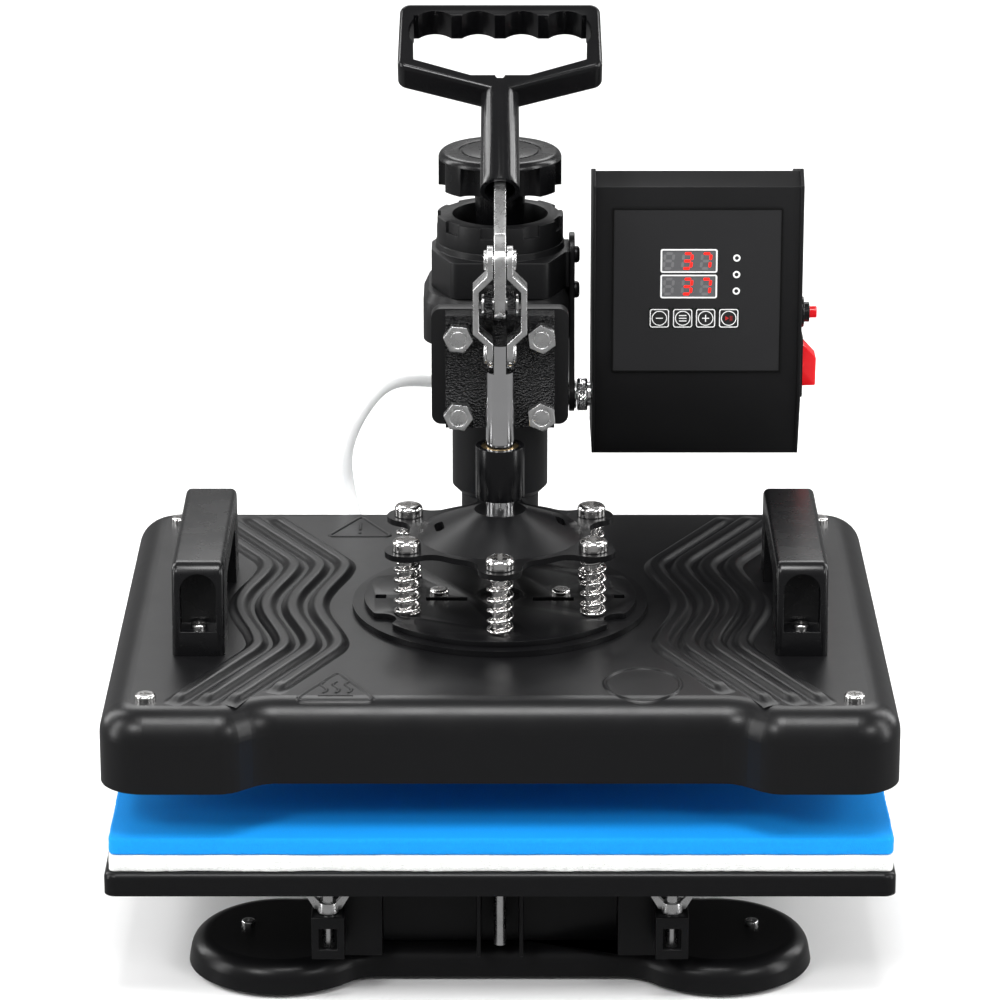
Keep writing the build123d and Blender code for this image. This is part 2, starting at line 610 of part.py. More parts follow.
def cover_plan(inset, z):
    """Cover outline at height z with its middle set back at the front, inset evenly."""
    half_x = COVER_X / 2
    half_y = COVER_Y / 2
    with BuildSketch(rod_plane(z)) as plan:
        with BuildLine():
            Polyline((-half_x, half_y), (-half_x, -half_y), (-RECESS_HALF - 8, -half_y),
                     (8 - RECESS_HALF, RECESS_DEPTH - half_y),
                     (RECESS_HALF - 8, RECESS_DEPTH - half_y), (RECESS_HALF + 8, -half_y),
                     (half_x, -half_y), (half_x, half_y), close=True)
        make_face()
        corners = vertices().filter_by(lambda v: abs(v.X) > half_x - 1)
        fillet(corners, COVER_CORNER)
        fillet(vertices().filter_by(lambda v: abs(v.X) < half_x - COVER_CORNER - 1), 18)
        if inset:
            offset(amount=-inset, mode=Mode.REPLACE)
    return plan.sketch


COVER_SCREWS = [(x, y) for x in (-171, 171) for y in (-131, 131)]
with BuildPart() as cover_core:
    extrude(cover_plan(SHEET, COVER_BOTTOM), amount=COVER_TOP - SHEET - COVER_BOTTOM)
    fillet(faces().sort_by(Axis.Z)[-1].edges(), COVER_RIM - SHEET)

with BuildPart() as cover:
    extrude(cover_plan(0, COVER_BOTTOM), amount=COVER_TOP - COVER_BOTTOM)
    fillet(faces().sort_by(Axis.Z)[-1].edges(), COVER_RIM)
    add(cover_core.part, mode=Mode.SUBTRACT)
    with BuildSketch(rod_plane(COVER_BOTTOM)):
        with Locations(*COVER_SCREWS, (31, 1), (-31, 1)):
            Circle(2.5 + LOOSE)
        with PolarLocations(POST_BOLT_R, 6, start_angle=-90):
            Circle(4.5)
    extrude(amount=60, mode=Mode.SUBTRACT)
    gland_hole = Plane((-77, ROD_Y + COVER_Y / 2 - 10, 136), x_dir=(1, 0, 0), z_dir=(0, 1, 0))
    cylinder_between(gland_hole, 6.0, 20, Mode.SUBTRACT)
finish(cover, "cover")

with BuildPart() as heating_platen:
    with BuildSketch(rod_plane(HOT_FACE)):
        RectangleRounded(374, 276, 6)
    extrude(amount=12)
    with BuildSketch(rod_plane(HOT_FACE + 4)):
        with Locations(*COVER_SCREWS):
            Circle(2.5 + LOOSE)
    extrude(amount=20, mode=Mode.SUBTRACT)
finish(heating_platen, "heating_platen")

ELEMENT_R = 3.4
with BuildPart() as heating_element:
    with BuildLine(rod_plane(HOT_FACE + 12 + ELEMENT_R + 0.1)):
        FilletPolyline((-77, 118), (-77, 90), (150, 90), (150, 30), (-150, 30), (-150, -30),
                       (150, -30), (150, -90), (-110, -90), radius=16)
    with BuildSketch(Plane((-77, ROD_Y + 118, HOT_FACE + 12 + ELEMENT_R + 0.1),
                           x_dir=(1, 0, 0), z_dir=(0, -1, 0))):
        Circle(ELEMENT_R)
    sweep()
finish(heating_element, "heating_element")

with BuildPart() as insulation_sheet:
    with BuildSketch(rod_plane(HOT_FACE + 12 + 2 * ELEMENT_R + 0.3)):
        RectangleRounded(325, 236, 6)
    extrude(amount=9)
finish(insulation_sheet, "insulation_sheet")

with BuildPart() as disc_plate:
    with BuildSketch(rod_plane(DISC_BOTTOM)):
        Circle(75)
        with Locations((31, 1), (-31, 1)):
            Circle(2.5 + LOOSE, mode=Mode.SUBTRACT)
        with PolarLocations(POST_BOLT_R, 6, start_angle=-90):
            Circle(4 + LOOSE, mode=Mode.SUBTRACT)
    extrude(amount=3)
finish(disc_plate, "disc_plate")

with BuildPart() as lobed_plate:
    with BuildSketch(rod_plane(DISC_TOP)):
        Circle(69)
        with Locations(*[(70 * cos(radians(a)), 70 * sin(radians(a))) for a in (31, 149, 211, 329)]):
            Circle(8, mode=Mode.SUBTRACT)
        fillet(vertices(), 3)
        Circle(12, mode=Mode.SUBTRACT)
        with Locations((60.5, -3), (-60.5, -3)):
            RectangleRounded(5.6, 5.6, 1, mode=Mode.SUBTRACT)
        with Locations((27, -7), (-27, -7)):
            Rectangle(21, 5, mode=Mode.SUBTRACT)
        with Locations((31, 1), (-31, 1)):
            Circle(2.5 + LOOSE, mode=Mode.SUBTRACT)
        with PolarLocations(POST_BOLT_R, 6, start_angle=-90):
            Circle(4 + LOOSE, mode=Mode.SUBTRACT)
    extrude(amount=3)
finish(lobed_plate, "lobed_plate")

cover_screws = [pan_screw(Plane((x, ROD_Y + y, COVER_TOP)), 5.0, 2.8, 2.5,
                          COVER_TOP - HOT_FACE - 5, 5) for x, y in COVER_SCREWS]
lobed_screws = [pan_screw(Plane((x, ROD_Y + 1, LOBED_TOP)), 4.8, 2.8, 2.5, 14, 5)
                for x in (-31, 31)]
screw_set("platen_screws", cover_screws + lobed_screws)

BOLT_SEAT = SPIDER_BOTTOM + SPIDER_THICK + 0.4
post_angles = [radians(60 * k - 90) for k in range(6)]
post_places = [(POST_BOLT_R * cos(a), ROD_Y + POST_BOLT_R * sin(a)) for a in post_angles]
screw_set("post_bolts", [
    pan_screw(Plane((x, y, BOLT_SEAT)), 7.2, 5.4, 4.0, BOLT_SEAT - COVER_TOP + 4, 12)
    for x, y in post_places])

with BuildPart() as springs:
    with BuildSketch(rod_plane(LOBED_TOP)):
        with PolarLocations(POST_BOLT_R, 6, start_angle=-90):
            Circle(6.9)
            Circle(4.9, mode=Mode.SUBTRACT)
    extrude(amount=SPIDER_BOTTOM - LOBED_TOP - 0.2)
finish(springs, "springs")

HANDLE_X = 149.0
HANDLE_HALF = 13.0
HANDLE_Z = COVER_TOP
HANDLE_TOP = 201.0
HANDLE_FRONT = ROD_Y - 73
HANDLE_REAR = ROD_Y + 61
HANDLE_SCREWS = [(side * HANDLE_X, y) for side in (-1, 1)
                 for y in (HANDLE_FRONT + 8.5, HANDLE_REAR - 8.5)]

with BuildPart() as side_handles:
    for side in (-1, 1):
        centre = side * HANDLE_X
        with BuildSketch(Plane.YZ.offset(centre - HANDLE_HALF)):
            with BuildLine():
                Polyline((HANDLE_FRONT, HANDLE_Z), (HANDLE_FRONT + 6, HANDLE_TOP),
                         (HANDLE_REAR - 6, HANDLE_TOP), (HANDLE_REAR, HANDLE_Z),
                         (HANDLE_REAR - 26, HANDLE_Z), (HANDLE_REAR - 31, HANDLE_TOP - 14),
                         (HANDLE_FRONT + 31, HANDLE_TOP - 14), (HANDLE_FRONT + 26, HANDLE_Z),
                         close=True)
            make_face()
            fillet(vertices().group_by(Axis.Y)[-1], 7)
            fillet(vertices().group_by(Axis.Y)[-3], 8)
        extrude(amount=2 * HANDLE_HALF)
    outer_tops = faces().group_by(Axis.Z)[-1]
    fillet(outer_tops.edges().filter_by(Axis.Y), 3)
    for side in (-1, 1):
        for y, turn in ((HANDLE_FRONT - 2, 1), (HANDLE_REAR + 2, -1)):
            pocket = Plane((side * HANDLE_X, y, HANDLE_Z), x_dir=(-turn, 0, 0), z_dir=(0, turn, 0))
            with BuildSketch(pocket):
                with BuildLine():
                    edge = Line((-9, 12), (9, 12))
                    Line(edge @ 1, (9, 32))
                    RadiusArc((9, 32), (-9, 32), -9)
                    Line((-9, 32), edge @ 0)
                make_face()
            extrude(amount=17, mode=Mode.SUBTRACT)
    for x, y in HANDLE_SCREWS:
        cylinder_between(Plane((x, y, HANDLE_Z - 1)), 2.0 + LOOSE, 20, Mode.SUBTRACT)
finish(side_handles, "side_handles")

screw_set("handle_screws", [
    pan_screw(Plane((x, y, HANDLE_Z + 12)), 4.2, 2.6, 2.0, 11.5, 4.4) for x, y in HANDLE_SCREWS])

# ---- controller --------------------------------------------------------------------------
BOX_LEFT = 49.5
BOX_RIGHT = 160.0
BOX_FRONT = ROD_Y + 150
BOX_BACK = ROD_Y + 222
BOX_WALL = 1.5
BOX_BOTTOM = 183.2
TILT_Y = ROD_Y + 172
TILT_Z = 213.5
CASE = [(BOX_FRONT, 218), (BOX_FRONT, 335), (BOX_FRONT + 9, 341.5), (BOX_BACK, 325),
        (BOX_BACK, BOX_BOTTOM), (BOX_FRONT + 13, BOX_BOTTOM)]
INNER = [(BOX_FRONT + BOX_WALL, 218.3), (BOX_FRONT + BOX_WALL, 334.2), (BOX_FRONT + 9.4, 339.8),
         (BOX_BACK - BOX_WALL, 323.8), (BOX_BACK - BOX_WALL, BOX_BOTTOM + BOX_WALL),
         (BOX_FRONT + 14, BOX_BOTTOM + BOX_WALL)]
KEY_XS = [84.8, 97.2, 109.4, 121.7]
PANEL = (60.0, 149.2, 233.7, 323.2)
KEY_Z = 263.2
KEY_SIZE = 10.4
DISPLAYS = ((86, 114.4, 289.0, 300.6), (86, 114.4, 274.9, 286.5))
ROCKER_Z = 231.8
ROCKER_HALF_Y = 6.8
BREAKER_Z = 260.0
SIDE_Y = TILT_Y

with BuildPart() as controller_shell:
    side_profile(CASE, BOX_LEFT, BOX_RIGHT)
    side_profile(INNER, BOX_LEFT + BOX_WALL, BOX_RIGHT - BOX_WALL, Mode.SUBTRACT)
    for x0, x1, z0, z1 in DISPLAYS:
        block_between(x0, x1, BOX_FRONT - 1, BOX_FRONT + 3, z0, z1, Mode.SUBTRACT)
    block_between(KEY_XS[0] - 6.5, KEY_XS[3] + 6.5, BOX_FRONT - 1, BOX_FRONT + 3, KEY_Z - 6.5,
                  KEY_Z + 6.5, Mode.SUBTRACT)
    block_between(BOX_RIGHT - 5, BOX_RIGHT + 5, SIDE_Y - ROCKER_HALF_Y - 0.6,
                  SIDE_Y + ROCKER_HALF_Y + 0.6, ROCKER_Z - 12.8, ROCKER_Z + 12.8, Mode.SUBTRACT)
    cylinder_between(Plane((BOX_RIGHT - 5, SIDE_Y, BREAKER_Z), x_dir=(0, 1, 0), z_dir=(1, 0, 0)), 4.6,
                     10, Mode.SUBTRACT)
    cylinder_between(Plane((BOX_LEFT - 5, TILT_Y, TILT_Z), x_dir=(0, 1, 0), z_dir=(1, 0, 0)),
                     STUD_R + FIT, 20, Mode.SUBTRACT)
    cylinder_between(Plane((BOX_LEFT - 5, ROD_Y + 212, 205), x_dir=(0, 1, 0), z_dir=(1, 0, 0)), 3.7,
                     12, Mode.SUBTRACT)
    block_between(118, 146, BOX_BACK - 4, BOX_BACK + 4, 200, 220, Mode.SUBTRACT)
finish(controller_shell, "controller_shell")

with BuildPart() as front_panel:
    x0, x1, z0, z1 = PANEL
    block_between(x0, x1, BOX_FRONT - 0.8, BOX_FRONT, z0, z1)
    for x0, x1, z0, z1 in DISPLAYS:
        block_between(x0, x1, BOX_FRONT - 2, BOX_FRONT + 2, z0, z1, Mode.SUBTRACT)
    for x in KEY_XS:
        block_between(x - KEY_SIZE / 2 - 0.3, x + KEY_SIZE / 2 + 0.3, BOX_FRONT - 2, BOX_FRONT + 2,
                      KEY_Z - KEY_SIZE / 2 - 0.3, KEY_Z + KEY_SIZE / 2 + 0.3, Mode.SUBTRACT)
finish(front_panel, "front_panel")

with BuildPart() as display_module:
    for x0, x1, z0, z1 in DISPLAYS:
        block_between(x0 + 0.2, x1 - 0.2, BOX_FRONT - 0.6, BOX_FRONT + 8, z0 + 0.2, z1 - 0.2)
finish(display_module, "display_module")

with BuildPart() as circuit_board:
    block_between(64, 137, BOX_FRONT + 8.2, BOX_FRONT + 9.8, 246, 318)
finish(circuit_board, "circuit_board")

for name, x in zip(("key_minus", "key_mode", "key_plus", "key_start"), KEY_XS):
    with BuildPart() as key:
        block_between(x - KEY_SIZE / 2, x + KEY_SIZE / 2, BOX_FRONT - 1.1, BOX_FRONT + 0.3,
                      KEY_Z - KEY_SIZE / 2, KEY_Z + KEY_SIZE / 2)
        fillet(edges().filter_by(Axis.Y), 1.4)
    finish(key, name)

with BuildPart() as rocker_frame:
    with BuildSketch(Plane((BOX_RIGHT, SIDE_Y, ROCKER_Z), x_dir=(0, 1, 0), z_dir=(1, 0, 0))):
        RectangleRounded(21, 34, 2)
        Rectangle(2 * ROCKER_HALF_Y + 1.2, 25.6, mode=Mode.SUBTRACT)
    extrude(amount=2.5)
finish(rocker_frame, "rocker_frame")

ROCKER_PIVOT_X = BOX_RIGHT + 1
STUB = 0.28  # how far the rocker's pivots stand out of its flanks
with BuildPart() as rocker:
    with BuildSketch(Plane((0, SIDE_Y, 0), x_dir=(1, 0, 0), z_dir=(0, -1, 0))):
        with BuildLine():
            Polyline((BOX_RIGHT - 3, ROCKER_Z - 11.4), (BOX_RIGHT + 9.6, ROCKER_Z - 11.0),
                     (BOX_RIGHT + 9.8, ROCKER_Z + 4.2), (BOX_RIGHT + 3.4, ROCKER_Z + 11.2),
                     (BOX_RIGHT - 3, ROCKER_Z + 11.2), close=True)
        make_face()
    extrude(amount=ROCKER_HALF_Y, both=True)
    fillet(edges().filter_by(Axis.Y).sort_by(Axis.X)[-2:], 0.8)
    rocker_axis = Plane((ROCKER_PIVOT_X, SIDE_Y, ROCKER_Z), x_dir=(1, 0, 0), z_dir=(0, 1, 0))
    cylinder_between(rocker_axis.offset(-ROCKER_HALF_Y - STUB), 2, 2 * (ROCKER_HALF_Y + STUB))
finish(rocker, "rocker")

bezel_plane = Plane((BOX_RIGHT, SIDE_Y, BREAKER_Z), x_dir=(0, 1, 0), z_dir=(1, 0, 0))
with BuildPart() as breaker_bezel:
    cylinder_between(bezel_plane, 8.2, 3)
    cylinder_between(bezel_plane.offset(3), 5.4, 3)
    cylinder_between(bezel_plane, 3.5, 12, Mode.SUBTRACT)
finish(breaker_bezel, "breaker_bezel")

with BuildPart() as reset_button:
    cylinder_between(bezel_plane.offset(-3), 3.2, 13)
    fillet(edges().sort_by(Axis.X)[-1], 0.6)
finish(reset_button, "reset_button")

with BuildPart() as mains_inlet:
    block_between(114, 150, BOX_BACK, BOX_BACK + 2, 196, 224)
    block_between(118.2, 145.8, BOX_BACK - 18, BOX_BACK, 200.2, 219.8)
    block_between(121, 143, BOX_BACK - 15, BOX_BACK + 3, 203, 217, Mode.SUBTRACT)
    for x, z in ((125, 208.5), (132, 212), (139, 208.5)):
        block_between(x - 1, x + 1, BOX_BACK - 15, BOX_BACK - 1, z - 2, z + 2)
finish(mains_inlet, "mains_inlet")

# ---- controller bracket and clamp --------------------------------------------------------
with BuildPart() as controller_bracket:
    with BuildSketch(Plane.YZ.offset(BRACKET_X)):
        slot_between((COLUMN_Y, 267), (COLUMN_Y, 288), 22)
        with BuildLine():
            Polyline((COLUMN_Y + 11, 288), (COLUMN_Y + 11, 262), (TILT_Y + 9, TILT_Z),
                     (TILT_Y - 9, TILT_Z), (COLUMN_Y - 11, 262), (COLUMN_Y - 11, 288), close=True)
        make_face()
        with Locations((TILT_Y, TILT_Z)):
            Circle(9)
    extrude(amount=3)
    cylinder_between(Plane((BRACKET_X - 2, TILT_Y, TILT_Z), x_dir=(0, 1, 0), z_dir=(1, 0, 0)), STUD_R,
                     10, Mode.SUBTRACT)
finish(controller_bracket, "controller_bracket")

with BuildPart() as bracket_screws:
    for z in (267.3, 287.0):
        head = Plane((BRACKET_X + 3, COLUMN_Y, z), x_dir=(0, 1, 0), z_dir=(1, 0, 0))
        cylinder_between(head, 4.6, 2.8)
        fillet(edges().group_by(Axis.X)[-1], 2.0)
finish(bracket_screws, "bracket_screws")

with BuildPart() as tilt_stud:
    stud = Plane((BRACKET_X - 4, TILT_Y, TILT_Z), x_dir=(0, 1, 0), z_dir=(1, 0, 0))
    cylinder_between(stud, STUD_R, BOX_LEFT + 4 - BRACKET_X + 4)
    cylinder_between(stud, 6, 4)
    cylinder_between(stud.offset(7), 7.5, 1.0)
finish(tilt_stud, "tilt_stud")

with BuildPart() as thumb_nut:
    nut_plane = Plane((BRACKET_X + 4.4, TILT_Y, TILT_Z), x_dir=(0, 1, 0), z_dir=(1, 0, 0))
    cylinder_between(nut_plane, 9.0, 5.6)
    chamfer(edges().filter_by(GeomType.CIRCLE), 0.8)
    cylinder_between(nut_plane.offset(5.6), 6.4, 1.8)
    cylinder_between(nut_plane.offset(-1), STUD_R + FIT, 20, Mode.SUBTRACT)
finish(thumb_nut, "thumb_nut")

# ---- heater cable ------------------------------------------------------------------------
CABLE_R = 3.4
CLIP_Y = ROD_Y + 222
CLIP_Z = 203.0
LEAD_Z = 204.0
GLAND_Y = ROD_Y + COVER_Y / 2
GLAND_X = -77.0
GLAND_Z = 136.0

with BuildPart() as cover_gland:
    gland = Plane((GLAND_X, GLAND_Y - 4, GLAND_Z), x_dir=(1, 0, 0), z_dir=(0, 1, 0))
    cylinder_between(gland, 5.9, 4)
    cylinder_between(gland.offset(4), 7.5, 2.5)
    cylinder_between(gland.offset(6.5), 5.6, 3.5)
    cylinder_between(gland.offset(-1), CABLE_R + FIT, 14, Mode.SUBTRACT)
finish(cover_gland, "cover_gland")

with BuildPart() as cable_clip:
    clip_plane = Plane((-5, CLIP_Y, CLIP_Z), x_dir=(0, 1, 0), z_dir=(1, 0, 0))
    cylinder_between(clip_plane, CABLE_R + 1.4, 10)
    block_between(-5, 5, COLUMN_Y + SLEEVE_R - 1.0, CLIP_Y - 1, CLIP_Z - 1, CLIP_Z + 1)
    block_between(-5, 5, COLUMN_Y + SLEEVE_R + 0.1, COLUMN_Y + SLEEVE_R + 1.3, CLIP_Z - 14, CLIP_Z)
    cylinder_between(column_plane(100), SLEEVE_R + LOOSE, 250, Mode.SUBTRACT)
    cylinder_between(clip_plane.offset(-1), CABLE_R + FIT, 12, Mode.SUBTRACT)
finish(cable_clip, "cable_clip")


def cable(name, points, radius):
    """Round cable along straight runs joined by tangent arcs; prints its radii and its volume check."""
    route = [Vector(*p) for p in points]
    radii = []
    for before, here, after in zip(route, route[1:], route[2:]):
        turn = radians((here - before).get_angle(after - here))
        radii.append(0.45 * min((here - before).length, (after - here).length) / tan(turn / 2))
    with BuildPart() as tube:
        with BuildLine() as line:
            FilletPolyline(*points, radius=radii)
        with BuildSketch(Plane(points[0], z_dir=route[1] - route[0])):
            Circle(radius)
        sweep()
    section = pi * radius**2
    length = sum(edge.length for edge in line.line.edges())
    print(name, "radii", [round(r, 1) for r in radii], "length", round(length, 1),
          "volume share", round(tube.part.volume / (section * length), 4))
    finish(tube, name)


cable("heater_cable", [
    (GLAND_X, GLAND_Y - 3, GLAND_Z), (GLAND_X, GLAND_Y + 20, GLAND_Z),
    (GLAND_X - 6, GLAND_Y + 36, GLAND_Z + 17), (GLAND_X - 8, GLAND_Y + 35, GLAND_Z + 38),
    (GLAND_X, GLAND_Y + 38, GLAND_Z + 59), (GLAND_X + 15, GLAND_Y + 48, GLAND_Z + 75),
    (GLAND_X + 35, GLAND_Y + 61, GLAND_Z + 72), (-20, CLIP_Y, CLIP_Z), (0, CLIP_Y, CLIP_Z)],
      CABLE_R)
cable("controller_lead", [
    (0, CLIP_Y, CLIP_Z), (16, CLIP_Y, CLIP_Z), (32, ROD_Y + 213, LEAD_Z),
    (BOX_LEFT + 3, ROD_Y + 212, LEAD_Z + 1)], CABLE_R)

print("ram stroke", round(RAM_STROKE, 3), "platen stroke", round(PLATEN_STROKE, 3),
      "spring compression", round(RAM_STROKE - PLATEN_STROKE, 3))
print("link tilt at the end", round(degrees(asin(TOGGLE_A * sin(radians(LEVER_TURN)) / TOGGLE_B)), 3))
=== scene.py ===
"""Looks of the swing-away heat press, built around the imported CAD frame. Lengths are in metres."""

import json
from math import cos, pi, radians, sin, sqrt

import bmesh
import bpy
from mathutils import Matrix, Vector, noise


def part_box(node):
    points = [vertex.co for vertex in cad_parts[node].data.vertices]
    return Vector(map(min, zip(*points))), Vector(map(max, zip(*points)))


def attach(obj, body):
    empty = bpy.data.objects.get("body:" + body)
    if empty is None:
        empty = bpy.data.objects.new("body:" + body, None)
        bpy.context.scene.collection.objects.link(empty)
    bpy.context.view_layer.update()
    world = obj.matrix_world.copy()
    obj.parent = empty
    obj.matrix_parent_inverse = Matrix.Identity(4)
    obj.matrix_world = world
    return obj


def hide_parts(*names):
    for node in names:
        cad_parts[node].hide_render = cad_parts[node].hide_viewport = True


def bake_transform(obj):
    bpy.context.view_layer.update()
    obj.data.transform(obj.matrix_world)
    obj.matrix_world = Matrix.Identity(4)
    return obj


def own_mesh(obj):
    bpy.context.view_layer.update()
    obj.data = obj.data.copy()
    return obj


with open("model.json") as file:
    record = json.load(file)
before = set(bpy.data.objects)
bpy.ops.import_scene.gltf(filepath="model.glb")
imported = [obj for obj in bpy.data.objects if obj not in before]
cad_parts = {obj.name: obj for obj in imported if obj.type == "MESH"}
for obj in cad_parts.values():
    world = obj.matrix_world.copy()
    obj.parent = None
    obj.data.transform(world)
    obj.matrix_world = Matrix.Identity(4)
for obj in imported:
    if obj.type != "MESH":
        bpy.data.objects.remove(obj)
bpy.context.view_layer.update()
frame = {"nodes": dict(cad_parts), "record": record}

MM = 0.001
SHARP_ANGLE = 30.0  # edges that turn by more than this are rounded
ROD_Y = sum(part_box("ram_rod")[k].y for k in (0, 1)) / 2
COVER_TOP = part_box("side_handles")[0].z
body_of_node = {n: b for b, nodes in frame["record"]["behaviour"]["bodies"].items() for n in nodes}
slot_of_node = {s["node"]: s["material_slot"] for s in frame["record"]["subparts"]}


# ---- camera ------------------------------------------------------------------------------
def make_camera():
    """Camera a little above the press, straight in front of it."""
    data = bpy.data.cameras.new("camera")
    data.lens = 165.9
    data.sensor_width = 36.0
    camera = bpy.data.objects.new("camera", data)
    camera.location = (0.0, -2.2486, 0.9619)
    camera.rotation_euler = (radians(71.2), 0.0, 0.0)
    bpy.context.scene.collection.objects.link(camera)
    bpy.context.scene.camera = camera
    bpy.context.scene.view_settings.view_transform = "Standard"


# ---- mesh helpers ------------------------------------------------------------------------
def new_object(name, verts, faces, smooth_angle=35.0):
    """Mesh object from points and faces, with normals outwards and edges over an angle kept sharp."""
    mesh = bpy.data.meshes.new(name)
    mesh.from_pydata([tuple(v) for v in verts], [], faces)
    mesh.validate()
    tidy_mesh(mesh, smooth_angle)
    made = bpy.data.objects.new(name, mesh)
    bpy.context.scene.collection.objects.link(made)
    return made


def tidy_mesh(mesh, smooth_angle):
    """Makes normals consistent and shades smooth, apart from edges over an angle."""
    work = bmesh.new()
    work.from_mesh(mesh)
    bmesh.ops.recalc_face_normals(work, faces=work.faces)
    work.to_mesh(mesh)
    work.free()
    mesh.polygons.foreach_set("use_smooth", [True] * len(mesh.polygons))
    mesh.set_sharp_from_angle(angle=radians(smooth_angle))


def place(made, body, slot, *replaced):
    """Gives a piece its body, its slot and material, and the CAD nodes that it stands for."""
    made.data.materials.clear()
    made.data.materials.append(materials[slot])
    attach(made, body)
    if replaced:
        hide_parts(*replaced)
    return made


def rounded_copy(node, width_mm):
    """Copy of a CAD node with its edges rounded, standing for that node."""
    mesh = frame["nodes"][node].data.copy()
    mesh.name = node + "_shape"
    work = bmesh.new()
    work.from_mesh(mesh)
    bmesh.ops.remove_doubles(work, verts=work.verts, dist=2e-6)
    bmesh.ops.dissolve_limit(work, angle_limit=radians(0.6), verts=work.verts, edges=work.edges)
    work.to_mesh(mesh)
    work.free()
    if mesh.has_custom_normals:
        mesh.attributes.remove(mesh.attributes["custom_normal"])
    made = bpy.data.objects.new(node + "_piece", mesh)
    bpy.context.scene.collection.objects.link(made)
    soften(made, width_mm, segments=3)
    return place(made, body_of_node[node], slot_of_node[node], node)


def apply_modifiers(made, smooth_angle):
    """Replaces an object's mesh with what its modifiers make of it."""
    graph = bpy.context.evaluated_depsgraph_get()
    graph.update()
    result = bpy.data.meshes.new_from_object(made.evaluated_get(graph))
    made.modifiers.clear()
    made.data = result
    tidy_mesh(result, smooth_angle)


def prism(name, outlines, y_front, y_back):
    """Flat marks on an upright face: closed (x, z) outlines in mm, between two y values in mm."""
    verts = []
    faces = []
    for outline in outlines:
        start = len(verts)
        count = len(outline)
        verts += [Vector((x, y_front, z)) * MM for x, z in outline]
        verts += [Vector((x, y_back, z)) * MM for x, z in outline]
        faces.append([start + i for i in range(count)])
        faces.append([start + count + i for i in range(count)][::-1])
        for i in range(count):
            j = (i + 1) % count
            faces.append([start + i, start + j, start + count + j, start + count + i])
    return new_object(name, verts, faces, 20.0)


def ring_prism(name, pairs, y_front, y_back):
    """Flat rings on an upright face, each between an outer and an inner outline of equal length."""
    verts = []
    faces = []
    for outer, inner in pairs:
        start = len(verts)
        count = len(outer)
        for loop, y in ((outer, y_front), (inner, y_front), (outer, y_back), (inner, y_back)):
            verts += [Vector((x, y, z)) * MM for x, z in loop]
        for i in range(count):
            j = (i + 1) % count
            a, b, c, d = (start + k * count for k in range(4))
            faces.append([a + i, a + j, b + j, b + i])
            faces.append([c + i, d + i, d + j, c + j])
            faces.append([a + i, c + i, c + j, a + j])
            faces.append([b + i, b + j, d + j, d + i])
    return new_object(name, verts, faces, 20.0)


def circle_outline(x, z, radius, count=40):
    """Points of a circle on an upright face."""
    return [(x + radius * cos(2 * pi * i / count), z + radius * sin(2 * pi * i / count))
            for i in range(count)]


def round_box_outline(x0, x1, z0, z1, radius, steps=6):
    """Points of a rectangle with rounded corners."""
    points = []
    corners = ((x1 - radius, z1 - radius, 0), (x0 + radius, z1 - radius, 90),
               (x0 + radius, z0 + radius, 180), (x1 - radius, z0 + radius, 270))
    for cx, cz, start in corners:
        for k in range(steps + 1):
            angle = radians(start + 90 * k / steps)
            points.append((cx + radius * cos(angle), cz + radius * sin(angle)))
    return points


def tube_mesh(name, paths, radius, sides=10):
    """Round wire along each list of points, closed at its ends."""
    verts = []
    faces = []
    for path in paths:
        start = len(verts)
        side = None
        for i, point in enumerate(path):
            before = path[max(i - 1, 0)]
            after = path[min(i + 1, len(path) - 1)]
            along = (after - before).normalized()
            if side is None:
                side = along.orthogonal().normalized()
            side = (side - along * side.dot(along)).normalized()
            other = along.cross(side)
            for k in range(sides):
                angle = 2 * pi * k / sides
                verts.append(point + (side * cos(angle) + other * sin(angle)) * radius)
        for i in range(len(path) - 1):
            for k in range(sides):
                n = (k + 1) % sides
                a = start + i * sides
                faces.append([a + k, a + n, a + sides + n, a + sides + k])
        faces.append([start + k for k in range(sides)][::-1])
        last = start + (len(path) - 1) * sides
        faces.append([last + k for k in range(sides)])
    return new_object(name, verts, faces, 50.0)


def soften(made, width_mm, segments=2):
    """Rounds an object's sharp edges."""
    bevel = made.modifiers.new("bevel", "BEVEL")
    bevel.width = width_mm * MM
    bevel.segments = segments
    bevel.limit_method = "ANGLE"
    bevel.angle_limit = radians(SHARP_ANGLE)
    apply_modifiers(made, 40.0)


